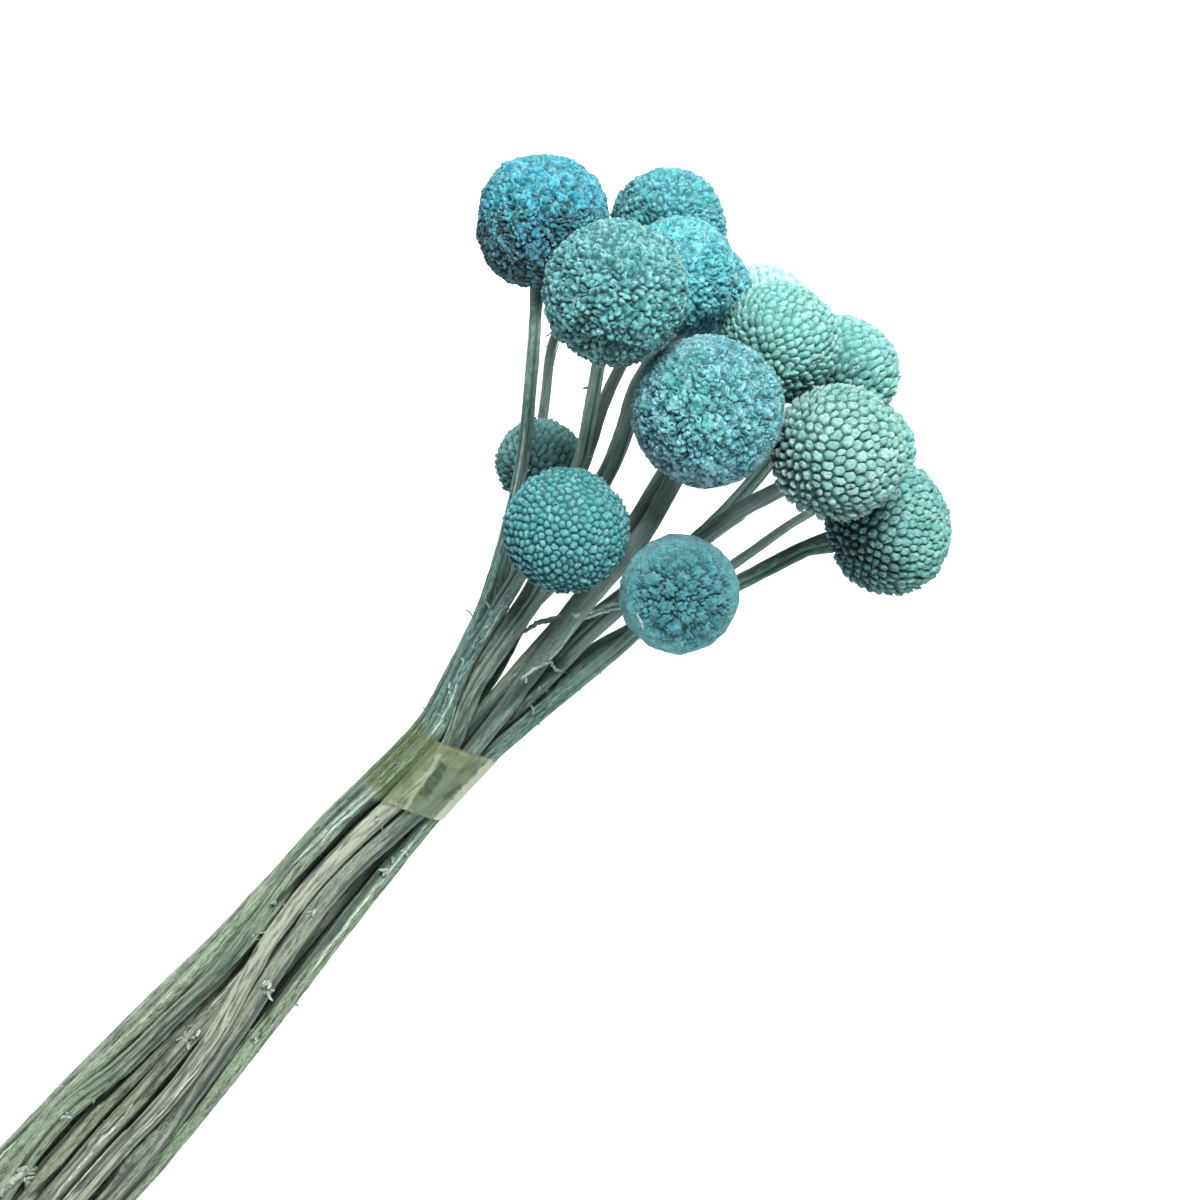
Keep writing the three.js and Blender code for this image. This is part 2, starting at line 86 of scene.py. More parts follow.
# Every floret is a dome. profile: the rings of one, as how far out they lie, how far below its top, by
# the spacing, and the share of the tip's colour; round: how round its corners are; crease: how deep
# the seam to the next one is, by the spacing; lean: how far it leans to the crown; stray: how far it
# strays from its place; fuzz: how rough it is and uneven: how much lower some stand, in mm; dimple:
# how far its middle is pinched in, by the spacing; gape: how much narrower it is near the neck;
# joined: the share of seams so shallow that two florets run together; wool: how deep the slits between
# curls of wool are and curl: how wide a curl is, in mm; clump: the size of the clumps they stand in,
# crack: the depth of the cracks between these, closed: how few of them are open, and dome: how much
# lower a clump's edge lies, in mm
# the share of the tip's colour falls towards the seams, where the felt paints shade
STYLES = {
    "beaded": dict(profile=((0.42, 0.0, 1.0), (0.74, 0.2, 0.75), (0.9, 0.5, 0.25)), round=0.3, crease=0.95,
                   dimple=0.12, lean=0.45, stray=0.14, fuzz=0.08, uneven=0.45, gape=0.3, joined=0.03,
                   wool=0.3, curl=0.85, clump=6, crack=0.2, closed=1, dome=0),
    "small_beads": dict(profile=((0.5, 0.07, 0.95), (0.83, 0.34, 0.45)), round=0.3, crease=0.95,
                        dimple=0, lean=0.45, stray=0.15, fuzz=0.08, uneven=0.45, gape=0.22, joined=0.06,
                        wool=0.3, curl=0.85, clump=6, crack=0.2, closed=1, dome=0),
    "knobbly": dict(profile=((0.48, 0.09, 0.95), (0.8, 0.36, 0.42)), round=0.3, crease=0.75,
                    dimple=0, lean=0.1, stray=0.26, fuzz=0.08, uneven=0.7, gape=0.1, joined=0.5,
                    wool=0.8, curl=1.05, clump=3.6, crack=0.6, closed=1.5, dome=0.3),
    "woolly": dict(profile=((0.5, 0.06, 0.95), (0.82, 0.34, 0.5)), round=0.3, crease=0.5,
                   dimple=0, lean=0, stray=0.3, fuzz=0.06, uneven=0.3, gape=0, joined=0.85,
                   wool=1.1, curl=1.0, clump=3.2, crack=0.3, closed=1.2, dome=0.3),
    "clumped": dict(profile=((0.6, 0.12, 0.85),), round=0.2, crease=0.3,
                    dimple=0, lean=0, stray=0.25, fuzz=0.04, uneven=0.08, gape=0, joined=0.95,
                    wool=0.3, curl=0.8, clump=3.3, crack=1.3, closed=0.2, dome=3.0),
}
FLORET_ROOM = 0.87  # the area that a floret or clump takes up, by its width squared
SHALLOW_SEAM = 0.15  # how deep a seam is where florets run together, as a share of the crease
FULL_SEAM = (0.7, 0.3)  # how deep other seams are at least, and how much of that varies
PIT_DEEPER = 1.1  # the point where three florets meet, by the depth of its seams
# two primes, which give each pair of clumps a number of its own
PAIR_STEP = 7919
PAIRS = 9973
HEAD_SWELL = 1.015  # how much wider than the CAD solid's hull the florets stand
HEAD_PROUD = 0.25  # how far they stand out past that
NECK_DIMPLE = 1.3  # how far they sink in round the neck
DIMPLE_REACH = 4

# ---- stems ----

RING_REACH = 3.2  # corners of a CAD stem nearer than this lie in one ring
STEM_STEP = 1.6  # from one row of skin to the next
STEM_RIBS = (4, 5, 6)
RIB_CORNERS = 4
IN_FURROW = (1.0, 0.35, 0.0, 0.35)  # how deep in a furrow each corner of a rib lies
# by the thickness of the CAD stem: how wide its skin is, and how deep the furrows and gaps in it are
STEM_SWELL = 1.07
FURROW_DEPTH = 0.34
GAP_DEPTH = 0.35
STREAKS_APART = 30.0  # how far apart stems lie in the noise that streaks them
LOWEST_SKIN = 0.02  # the least height above the table
LOWEST_BIT = 0.05
FLAKE_ROWS = 6
FLAKE_THICKNESS = 0.14
FLAKES_KEEP_OUT = 0.2  # of gaps deeper than this
TORN_KEEP_OUT = 0.6
FLAKES_PER_STEM = 22
THREADS_PER_STEM = 6
BRACTS_PER_NECK = 9
STEM_INTO_HEAD = 1.8
DYED_FROM = (-80, 24)  # from the tie: where the stems turn from sage to dyed green
PAINTED_LIGHT_FROM = (26, 48)  # from the tie: where painted light turns them lighter again below the heads, whose shade it makes up for
USUAL_PAINTED_LIGHT = 0.5
PAINTED_LIGHT_SHARES = {"01": 0.15, "02": 0.3, "12": 0.15}  # the stems that get less of that painted light
BLEACH_GOES = (0.85, -8, 14)  # the share of the bleaching that is gone above the tie, and where it goes
BROWN_GOES = (0.7, 0, 25)
DYE_SETS_IN = (-30, 20)
DYED_DEEPER = ("03", 0.85, (12, 17), (34, 42))  # a stem, how much more it is dyed, and from where to where
GAP_SHADE_TEAL = 0.6  # how much dark teal paint the gaps below the tie get, as painted shade
BELOW_HEADS = 1.5  # the rise mask inside a head, where the painted light is fullest
PITH = (2.5, 0, 0)  # the paint of the middle of a cut end

# how bleached, how brown and how dyed each stem is
STEM_PAINTS = {
    "01": (0.1, 0.0, 0.35), "02": (0.0, 0.2, 0.15), "03": (0.15, 0.0, 0.1), "04": (0.1, 0.7, 0.0),
    "05": (0.0, 0.3, 0.0), "06": (0.1, 0.4, 0.0), "07": (0.4, 0.45, 0.0), "08": (0.2, 0.0, 0.1),
    "09": (0.3, 0.1, 0.0), "10": (0.0, 0.1, 0.45), "11": (0.1, 0.3, 0.0), "12": (0.0, 0.1, 0.4),
    "13": (0.9, 0.1, 0.0), "14": (0.25, 0.0, 0.1), "15": (0.0, 0.1, 0.3),
}

# ---- places in the camera's view, in pixels ----

TORN_SPREAD = 3.2  # pixels, for flakes of 1 mm
FIBRE_LIFT = 0.2  # how far a fibre stays above the stems it passes
# where skin is torn: the pixel, how many flakes hang there and how big they are in mm
TORN_AT = (
    (351, 824, 4, 1.0), (406, 845, 6, 1.1), (389, 868, 6, 1.1), (378, 816, 3, 0.8), (280, 898, 4, 0.9),
    (259, 940, 7, 1.1), (274, 986, 9, 1.9), (266, 992, 5, 1.3), (295, 1005, 5, 0.9), (313, 912, 4, 0.8),
    (194, 1023, 4, 1.3), (187, 1038, 9, 1.0), (178, 1023, 3, 0.8), (230, 1023, 4, 1.0), (254, 1032, 7, 1.0),
    (249, 1050, 5, 1.0), (93, 1097, 7, 1.1), (67, 1115, 7, 1.1), (130, 1073, 3, 0.8), (130, 1128, 3, 0.8),
    (96, 1154, 3, 0.9), (174, 1125, 4, 1.0), (24, 1180, 6, 1.9), (36, 1172, 4, 1.5), (508, 598, 5, 1.2),
    (495, 610, 6, 1.2), (486, 628, 4, 1.0), (467, 660, 4, 1.0), (452, 691, 4, 0.9), (519, 675, 5, 1.0),
    (441, 716, 4, 0.8), (405, 765, 3, 0.8), (540, 690, 3, 0.8),
)
# loose fibres: how thick they are in mm and the pixels they pass
FIBRES = (
    (1.3, ((630, 602), (607, 606), (590, 611), (565, 616), (538, 623), (524, 632))),
    (0.9, ((622, 607), (600, 612), (579, 620), (566, 640), (549, 660))),
    (0.8, ((521, 679), (536, 668), (550, 661), (556, 670), (566, 672))),
    (0.7, ((512, 596), (500, 612), (489, 632), (478, 645))),
    (1.5, ((38, 1167), (26, 1171), (12, 1181), (0, 1196))),
)
# loose straws that lie in the gaps between stems, as fibres
STRAWS = (
    (3.0, ((168, 1124), (142, 1149), (116, 1176), (90, 1204), (64, 1230))),
)
# gaps between stems, carved in and painted dark as shade: half their width in mm, how much painted shade
# they get and the pixels they pass
SHADED_GAPS = (
    (1.9, 0.72, ((413, 823), (386, 857), (355, 892), (336, 927), (309, 950), (286, 977), (261, 1010))),
    (1.0, 0.75, ((261, 1010), (233, 1048), (207, 1085), (184, 1118))),
    (1.6, 1.0, ((452, 753), (486, 718), (515, 694), (540, 677), (562, 662))),
    (0.6, 0.9, ((449, 742), (468, 712), (484, 686))),
    (0.8, 0.5, ((362, 790), (340, 815), (316, 836), (296, 856), (270, 880))),
    (0.7, 0.8, ((372, 803), (352, 824), (332, 849), (310, 871), (290, 890), (272, 908))),
    (0.8, 0.6, ((247, 938), (226, 962), (200, 986), (172, 1010), (146, 1035), (112, 1064), (86, 1088))),
    (0.6, 0.85, ((255, 948), (236, 968), (214, 988), (190, 1010), (166, 1036), (134, 1069), (104, 1098))),
    (0.7, 0.7, ((201, 1044), (184, 1064), (160, 1092), (132, 1128), (104, 1158), (76, 1190))),
    (0.6, 0.8, ((82, 1148), (62, 1170), (30, 1198))),
    (0.5, 0.5, ((340, 878), (318, 903), (292, 930), (268, 958))),
)
# a pale husk caught on a head: that head, the pixels at its two ends and its width in mm
HUSK = ("15", (637, 614), (652, 628), 1.2)

# ---- film ----

FILM_THICKNESS = 0.14
FILM_WIDTH = 17.2
FILM_SLANT = 0.42  # how far it leans towards the cut ends, by how far it lies to the side
FILM_SHIFT = -1.4  # along the stems, from the middle of the CAD ring
FILM_START = math.radians(73)  # where the outer end of the film lies, from +Y towards +Z
FILM_TURNS = 1.36
FILM_TIGHT = 0.45  # how far the film is drawn in from the CAD ring
FILM_CLIMB = 0.2  # how much further in it lies after each turn
FILM_ROWS = 15
FILM_COLUMNS = 220
BEARINGS = 41  # at how many places round the stems the CAD ring is measured
NEAR_BEARING = 0.1  # radians to either side of such a place
# where the film tints the stems, from the tie's middle: its ends along them, to the side and upwards
TINT_ENDS = ((-12, -8.5), (4, 8))
TINT_SIDE = (0.5, 3.5)
TINT_UNDER = (-9, -3)
TINT_LEAST = 0.25
# painted light and shade on the film: shade on one of its flat facets, on a dark blotch and on a split, and
# a painted highlight on a crease; for each, the middle and half the width across it, and its two ends along
# the stems
FACET_SHADE = (-4.9, 2.9, -7.5, 3.4)
SHADE_PATCH = (-2.3, 1.15, -4.8, 3.4)
SPLIT_SHADE = (-6.8, 0.5, -2.2, 3.4)
CREASE_HIGHLIGHT = (-0.45, 0.45, -9.5, 4.6)

# ---- table and lamps ----

TABLE_REACH = 6.0  # in metres, as is the next
TABLE_TOP = -0.0004
LIT_FROM_TIE = np.array([40, 0, 0])  # what the lamps shine on
LAMP_DISTANCE = 900
# which way each lamp stands, as shares to the image's right, up it and out of it, how wide it is in mm,
# its power in watts and its colour
LAMPS = {
    "key_lamp": ((0.16, 0.64, 0.85), 420, 16, (1.0, 0.99, 0.98)),
    "fill_lamp": ((0.15, -0.75, 0.55), 500, 5, (0.98, 1.0, 1.0)),
}
SKY = (0.95, 0.98, 1.0, 1)
SKY_STRENGTH = 0.46


# ---- helpers ----

def srgb(red, green, blue):
    """A paint colour given from 0 to 255, as a shader socket takes it."""
    shares = np.array([red, green, blue]) / 255
    linear = np.where(shares <= 0.04045, shares / 12.92, ((shares + 0.055) / 1.055) ** 2.4)
    return (*linear.tolist(), 1.0)


def unit(vectors):
    """Vectors in the same directions, each one long."""
    vectors = np.asarray(vectors, float)
    return vectors / np.linalg.norm(vectors, axis=-1, keepdims=True)


def ease(values, low, high):
    """0 up to low, 1 from high on, and an eased step between them."""
    share = np.clip((values - low) / (high - low), 0, 1)
    return share * share * (3 - 2 * share)


def node_corners(name):
    """The corners of a CAD node, each once, in millimetres."""
    corners = np.array([v.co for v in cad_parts[name].data.vertices]) / MM
    return np.unique(np.round(corners, 2), axis=0)


def make_piece(name, corners, faces, material, masks):
    """A smooth mesh object from corners in millimetres and arrays of faces, riding on the bunch."""
    mesh = bpy.data.meshes.new(name)
    mesh.vertices.add(len(corners))
    mesh.vertices.foreach_set("co", (np.asarray(corners) * MM).astype(np.float32).ravel())
    loops = np.concatenate([f.ravel() for f in faces]).astype(np.int32)
    counts = np.concatenate([np.full(len(f), f.shape[1]) for f in faces])
    mesh.loops.add(len(loops))
    mesh.loops.foreach_set("vertex_index", loops)
    mesh.polygons.add(len(counts))
    starts = np.concatenate([[0], np.cumsum(counts)[:-1]]).astype(np.int32)
    mesh.polygons.foreach_set("loop_start", starts)
    mesh.materials.append(material)
    mesh.polygons.foreach_set("use_smooth", np.full(len(counts), True))
    for mask, values in masks.items():
        values = np.asarray(values, np.float32)
        kind, field = ("FLOAT_VECTOR", "vector") if values.ndim == 2 else ("FLOAT", "value")
        mesh.attributes.new(mask, kind, "POINT").data.foreach_set(field, values.ravel())
    mesh.update(calc_edges=True)
    mesh.validate()
    piece = bpy.data.objects.new(name, mesh)
    bpy.context.scene.collection.objects.link(piece)
    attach(piece, BODY)
    return piece


def soft_noise(random, rows, columns, row_cell, column_cells):
    """Smooth noise from -1 to 1 over rows and round a closed ring of columns."""
    knots = max(int(math.ceil(rows / row_cell)) + 2, 3)
    lattice = random.uniform(-1, 1, (knots, column_cells))
    down = np.arange(rows) / row_cell
    round_it = np.arange(columns) * column_cells / columns
    i, j = down.astype(int), round_it.astype(int)
    s, t = ease(down - i, 0, 1)[:, None], ease(round_it - j, 0, 1)[None, :]
    near = lattice[i][:, j] * (1 - t) + lattice[i][:, (j + 1) % column_cells] * t
    far = lattice[i + 1][:, j] * (1 - t) + lattice[i + 1][:, (j + 1) % column_cells] * t
    return near * (1 - s) + far * s


def space_noise(points, size, random):
    """Smooth noise, from about -1 to 1, that changes every size millimetres, at points."""
    cells = 32
    lattice = random.uniform(-1, 1, (cells, cells, cells))
    place = points / size
    cell = np.floor(place).astype(int)
    share = ease(place - cell, 0, 1)
    total = np.zeros(len(points))
    for step in np.ndindex(2, 2, 2):
        weight = np.where(step, share, 1 - share).prod(1)
        i, j, k = ((cell + step) % cells).T
        total += weight * lattice[i, j, k]
    return total


def slits_at(points, size, random):
    """How slit felted wool is at points: 1 in the short winding slits between its curls, 0 on the curls."""
    bent = np.stack([space_noise(points, 1.7 * size, random) for _ in range(3)], 1)
    winding = space_noise(points + 1.1 * size * bent, size, random)
    broken = space_noise(points, 1.5 * size, random)
    return (1 - ease(np.abs(winding), 0.02, 0.26)) * ease(broken, -0.4, 0.2)


# ---- where the tie, the eye and the image lie ----

TIE_BOX = [np.array(corner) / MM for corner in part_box("tie")]
TIE_MIDDLE = (TIE_BOX[0] + TIE_BOX[1]) / 2
EYE = TIE_MIDDLE + CAMERA_FROM_TIE
IMAGE_UP = unit(CAMERA_UP)
IMAGE_RIGHT = np.array([IMAGE_UP[1], -IMAGE_UP[0], 0])


# ---- finishes ----

BLEACHED = srgb(184, 194, 172)
BROWNED = srgb(152, 156, 116)
DYED = srgb(26, 88, 94)
# painted light: the pale colour stems take below the heads
PAINTED_LIGHT_NEAR_HEADS = srgb(140, 168, 162)
STAINED = srgb(58, 76, 36)
STAINED_PALE = srgb(114, 128, 80)


class Nodes:
    """Adds and joins the nodes of one material or group."""

    def __init__(self, tree):
        self.tree = tree

    def add(self, kind, values=None, **settings):
        node = self.tree.nodes.new(kind)
        for key, value in settings.items():
            setattr(node, key, value)
        for key, value in (values or {}).items():
            self.feed(node.inputs[key], value)
        return node

    def feed(self, socket, value):
        if isinstance(value, bpy.types.NodeSocket):
            self.tree.links.new(value, socket)
        else:
            socket.default_value = value

    def mask(self, name, output="Fac"):
        """What a mesh's mask of that name holds."""
        return self.add("ShaderNodeAttribute", attribute_name=name).outputs[output]

    def mix(self, factor, one, two):
        node = self.add("ShaderNodeMix", data_type="RGBA")
        self.feed(node.inputs[0], factor)
        self.feed(node.inputs[6], one)
        self.feed(node.inputs[7], two)
        return node.outputs[2]

    def math(self, operation, one, two=0.0):
        node = self.add("ShaderNodeMath", operation=operation)
        self.feed(node.inputs[0], one)
        self.feed(node.inputs[1], two)
        return node.outputs[0]

    def plus(self, one, two):
        return self.math("ADD", one, two)

    def minus(self, one, two):
        return self.math("SUBTRACT", one, two)

    def times(self, one, two):
        return self.math("MULTIPLY", one, two)

    def between(self, value, low, high, to_low=0.0, to_high=1.0):
        """An eased step: to_low where value is low, to_high where it is high."""
        node = self.add("ShaderNodeMapRange", interpolation_type="SMOOTHSTEP")
        for index, given in enumerate((value, low, high, to_low, to_high)):
            self.feed(node.inputs[index], given)
        return node.outputs[0]

    def noise(self, place, scale, detail=3.0, roughness=0.5, distortion=0.0):
        values = {"Vector": place, "Scale": scale, "Detail": detail, "Roughness": roughness,
                  "Distortion": distortion}
        return self.add("ShaderNodeTexNoise", values).outputs["Fac"]

    def stretched(self, place, scale):
        return self.add("ShaderNodeMapping", {"Vector": place, "Scale": scale}).outputs[0]

    def parts(self, vector):
        return self.add("ShaderNodeSeparateXYZ", {"Vector": vector}).outputs


def new_group(name, colors, numbers):
    """An empty group that takes colours and numbers and gives a colour, a roughness and a height."""
    tree = bpy.data.node_groups.new(name, "ShaderNodeTree")
    for label in colors:
        tree.interface.new_socket(label, in_out="INPUT", socket_type="NodeSocketColor")
    for label in numbers:
        tree.interface.new_socket(label, in_out="INPUT", socket_type="NodeSocketFloat")
    tree.interface.new_socket("Color", in_out="OUTPUT", socket_type="NodeSocketColor")
    for label in ("Roughness", "Height"):
        tree.interface.new_socket(label, in_out="OUTPUT", socket_type="NodeSocketFloat")
    nodes = Nodes(tree)
    return nodes, nodes.add("NodeGroupInput").outputs, nodes.add("NodeGroupOutput").inputs


def floret_felt_group():
    """Colour and nap of dyed florets: painted shade in the seams and slits, pale dusted tips with a painted
    highlight, the neck side in part dyed and in part painted with light and shade, with curls of felted
    wool.
    """
    nodes, given, out = new_group("floret_felt", ("Seam_Shade", "Body", "Tip", "Base"), ("Dust_And_Highlight", "Line", "Slit_Depth_And_Shade"))
    place = nodes.add("ShaderNodeTexCoord").outputs["Object"]
    tip = nodes.mask("tip")
    tone = nodes.mask("tone")
    crown = nodes.mask("crown")
    patches = nodes.noise(place, 150.0, 2.0)
    nap = nodes.noise(place, 3400.0, 3.0, 0.7)
    grain = nodes.noise(place, 1500.0, 3.0, 0.6, 1.2)

    winding = nodes.math("ABSOLUTE", nodes.minus(nodes.noise(place, 820.0, 1.5, 0.5, 1.4), 0.5))
    broken = nodes.between(nodes.noise(place, 560.0, 2.0), 0.43, 0.55)
    slit = nodes.times(nodes.between(winding, 0.015, 0.1, 1.0, 0.0), broken)
    slit = nodes.times(slit, given["Slit_Depth_And_Shade"])

    raised = nodes.plus(tip, nodes.between(grain, 0.3, 0.7, -0.14, 0.1))
    # the neck side takes the Base colour: in part the head's own dye, in part painted light and shade
    up = nodes.plus(crown, nodes.between(patches, 0.3, 0.7, -0.12, 0.12))
    up = nodes.minus(up, given["Line"])
    body = nodes.mix(nodes.between(up, -0.25, 0.25), given["Base"], given["Body"])
    # painted shade: the seams take the dark seam colour, less dark towards the crown
    root = nodes.mix(nodes.between(up, -0.1, 0.4, 0.0, 0.5), given["Seam_Shade"], given["Body"])
    color = nodes.mix(nodes.between(raised, 0.0, 0.75), root, body)

    # the tips take the Tip colour: pale and dusted, with a painted highlight on the tops of the florets
    spread = nodes.between(nodes.plus(nodes.times(tone, 0.35), patches), 0.35, 0.85, 0.35, 1.0)
    dust_and_highlight_share = nodes.times(nodes.between(raised, 0.5, 0.98), nodes.between(nap, 0.3, 0.62, 0.35, 1.0))
    dust_and_highlight_share = nodes.times(dust_and_highlight_share, nodes.times(spread, given["Dust_And_Highlight"]))
    color = nodes.mix(dust_and_highlight_share, color, given["Tip"])
    # painted shade in the slits between curls of wool
    color = nodes.mix(slit, color, root)
    lightness = nodes.plus(nodes.times(tone, 0.4), nap)
    shade = nodes.add("ShaderNodeHueSaturation", {
        "Hue": nodes.between(patches, 0.3, 0.7, 0.488, 0.512),
        "Saturation": nodes.between(tone, 0.0, 1.0, 1.04, 0.94),
        "Value": nodes.between(lightness, 0.4, 1.0, 0.88, 1.12),
        "Color": color,
    })
    nodes.feed(out["Color"], shade.outputs["Color"])
    nodes.feed(out["Roughness"], nodes.between(nap, 0.3, 0.7, 0.8, 1.0))
    relief = nodes.plus(nap, nodes.times(grain, 3.0))
    nodes.feed(out["Height"], nodes.minus(relief, nodes.times(slit, 2.2)))
    return nodes.tree


def dried_skin_group():
    """Colour and grain of dried stem skin: streaked along the stem, with painted shade in furrows and gaps
    and painted light below the heads, woolly on ribs.

    The paint mask says how bleached, how brown and how dyed a stem is, its dyed share also holding painted
    shade in the gaps below the tie, and stain where film has tinted it.
    """
    nodes, given, out = new_group("dried_skin", ("Low", "High", "Furrow_Shade_And_Streaks", "Wool"), ("Woolliness",))
    straight = nodes.mask("straight", "Vector")
    rise = nodes.mask("rise")
    tone = nodes.mask("tone")
    furrow = nodes.mask("furrow")
    stain = nodes.mask("stain")
    paint = nodes.parts(nodes.mask("paint", "Vector"))
    bleached, browned, dyed = paint["X"], paint["Y"], paint["Z"]
    streaks = nodes.noise(nodes.stretched(straight, (0.09, 1.0, 1.0)), 1.5, 4.0, 0.62)
    patches = nodes.noise(nodes.stretched(straight, (0.3, 1.0, 1.0)), 0.2, 3.0)
    wool = nodes.noise(nodes.stretched(straight, (0.2, 1.0, 1.0)), 2.7, 5.0, 0.78, 0.3)

    color = nodes.mix(nodes.between(rise, 0.3, 0.9), given["Low"], given["High"])
    color = nodes.mix(nodes.times(bleached, nodes.between(patches, 0.25, 0.5, 0.6, 1.0)), color, BLEACHED)
    color = nodes.mix(nodes.times(browned, nodes.between(patches, 0.3, 0.62)), color, BROWNED)
    color = nodes.mix(nodes.times(dyed, nodes.between(streaks, 0.35, 0.6, 0.6, 1.0)), color, DYED)
    color = nodes.mix(nodes.between(streaks, 0.54, 0.35, 0.0, 0.75), color, given["Furrow_Shade_And_Streaks"])

    woolly = nodes.times(nodes.between(wool, 0.46, 0.56), nodes.between(furrow, 0.0, 0.6, 1.0, 0.3))
    wool_color = nodes.mix(nodes.between(rise, 0.3, 1.0, 0.0, 0.35), given["Wool"], given["High"])
    color = nodes.mix(nodes.times(woolly, given["Woolliness"]), color, wool_color)

    moss = nodes.mix(nodes.between(wool, 0.4, 0.62), STAINED, STAINED_PALE)
    ragged = nodes.plus(stain, nodes.between(wool, 0.3, 0.7, -0.45, 0.45))
    color = nodes.mix(nodes.between(ragged, 0.3, 0.65, 0.0, 0.85), color, moss)

    # painted light: stems below the heads are painted lighter, standing in for light that the heads' shade
    # takes away
    color = nodes.mix(nodes.between(rise, 1.0, 1.5, 0.0, 0.68), color, PAINTED_LIGHT_NEAR_HEADS)
    # painted shade in furrows and gaps, less dark further up and near the heads
    furrow_shade = nodes.mix(nodes.between(rise, 0.3, 1.5, 0.0, 0.6), given["Furrow_Shade_And_Streaks"], given["High"])
    color = nodes.mix(nodes.between(furrow, 0.3, 1.05, 0.0, 0.9), color, furrow_shade)
    shade = nodes.add("ShaderNodeHueSaturation", {
        "Hue": nodes.between(patches, 0.3, 0.7, 0.485, 0.515),
        "Saturation": nodes.between(tone, 0.0, 1.0, 0.85, 1.15),
        "Value": nodes.times(nodes.between(streaks, 0.35, 0.65, 0.84, 1.2),
                             nodes.between(tone, 0.0, 1.0, 0.88, 1.06)),
        "Color": color,
    })
    nodes.feed(out["Color"], shade.outputs["Color"])
    nodes.feed(out["Roughness"], nodes.between(wool, 0.3, 0.7, 0.78, 0.98))
    nodes.feed(out["Height"], nodes.plus(nodes.times(streaks, 1.3), nodes.times(wool, 2.0)))
    return nodes.tree


def new_material(name):
    material = bpy.data.materials.new(name)
    material.use_nodes = True
    material.node_tree.nodes.clear()
    nodes = Nodes(material.node_tree)
    shader = nodes.add("ShaderNodeBsdfPrincipled")
    output = nodes.add("ShaderNodeOutputMaterial")
    nodes.feed(output.inputs["Surface"], shader.outputs["BSDF"])
    return material, nodes, shader


def grouped_material(name, group, values, bump, reach):
    """A dull material whose colour, roughness and bump come from a shared group."""
    material, nodes, shader = new_material(name)
    effect = nodes.add("ShaderNodeGroup", node_tree=group)
    for key, value in values.items():
        effect.inputs[key].default_value = value
    nodes.feed(shader.inputs["Base Color"], effect.outputs["Color"])
    nodes.feed(shader.inputs["Roughness"], effect.outputs["Roughness"])
    relief = nodes.add("ShaderNodeBump", {
        "Strength": bump, "Distance": reach * MM, "Height": effect.outputs["Height"]})
    nodes.feed(shader.inputs["Normal"], relief.outputs["Normal"])
    shader.inputs["Specular IOR Level"].default_value = 0.2
    shader.inputs["Sheen Weight"].default_value = 0.22
    shader.inputs["Sheen Roughness"].default_value = 0.35
    return material


FELT_GROUP = floret_felt_group()
SKIN_GROUP = dried_skin_group()


def felt_material(name, root, body, tip, base, dust_and_highlight, line, slits):
    """Dyed felt for the florets of one kind of head, with painted shade in its seams and a painted
    highlight on its tips.
    """
    return grouped_material(f"{name}_felt", FELT_GROUP, {
        "Seam_Shade": srgb(*root), "Body": srgb(*body), "Tip": srgb(*tip), "Base": srgb(*base),
        "Dust_And_Highlight": dust_and_highlight, "Line": line, "Slit_Depth_And_Shade": slits,
    }, bump=0.9, reach=0.35)


def skin_material(name, low, high, furrow, wool, woolliness, bump, reach):
    """Dried skin: its colours low and high on the stems, of painted shade in furrows (also used for dark
    streaks) and of the wool, and how woolly.
    """
    return grouped_material(name, SKIN_GROUP, {
        "Low": srgb(*low), "High": srgb(*high), "Furrow_Shade_And_Streaks": srgb(*furrow), "Wool": srgb(*wool),
        "Woolliness": woolliness,
    }, bump, reach)


# seam colour (painted shade), body colour, tip colour (pale and dusted, with a painted highlight) and base
# colour (the neck side, in part dye and in part painted light and shade) of the dyed florets, how much the
# tips are dusted and highlighted, how near the crown the colour of the base gives way, and how dark the
# painted shade in the slits between the finest curls of wool is
FELTS = {
    "sky": ((0, 40, 54), (42, 164, 186), (108, 214, 228), (0, 36, 52), 0.62, 0.57, 0.7),
    "cyan": ((2, 54, 68), (66, 160, 170), (156, 216, 222), (56, 106, 118), 0.8, 0.4, 0.8),
    "aqua": ((4, 88, 104), (76, 186, 196), (136, 216, 224), (50, 140, 154), 0.7, 0.35, 0.7),
    "turquoise": ((0, 80, 94), (78, 184, 194), (134, 214, 214), (44, 132, 144), 0.62, 0.35, 0.6),
    "sea": ((0, 52, 56), (72, 158, 160), (146, 216, 208), (34, 98, 108), 0.78, 0.4, 0.6),
    "pale_mint": ((40, 132, 126), (174, 232, 223), (214, 244, 237), (112, 188, 181), 0.7, 0.35, 0.2),
    "mint": ((4, 80, 76), (116, 192, 183), (170, 220, 212), (74, 156, 152), 0.7, 0.35, 0.2),
    "dusty_mint": ((0, 58, 56), (116, 184, 174), (182, 216, 210), (138, 176, 172), 0.8, 0.38, 0.25),
    "two_tone": ((0, 30, 32), (98, 174, 166), (164, 216, 208), (60, 130, 130), 0.62, 0.55, 0.2),
    "jade": ((0, 32, 40), (64, 156, 160), (124, 202, 202), (34, 98, 102), 0.6, 0.4, 0.35),
    "sage": ((8, 66, 68), (102, 172, 170), (144, 200, 194), (70, 134, 130), 0.6, 0.35, 0.3),
    "deep_teal": ((0, 30, 40), (42, 118, 128), (94, 172, 178), (86, 164, 170), 0.5, 0.68, 0.35),
}
FELT = {name: felt_material(name, *look) for name, look in FELTS.items()}
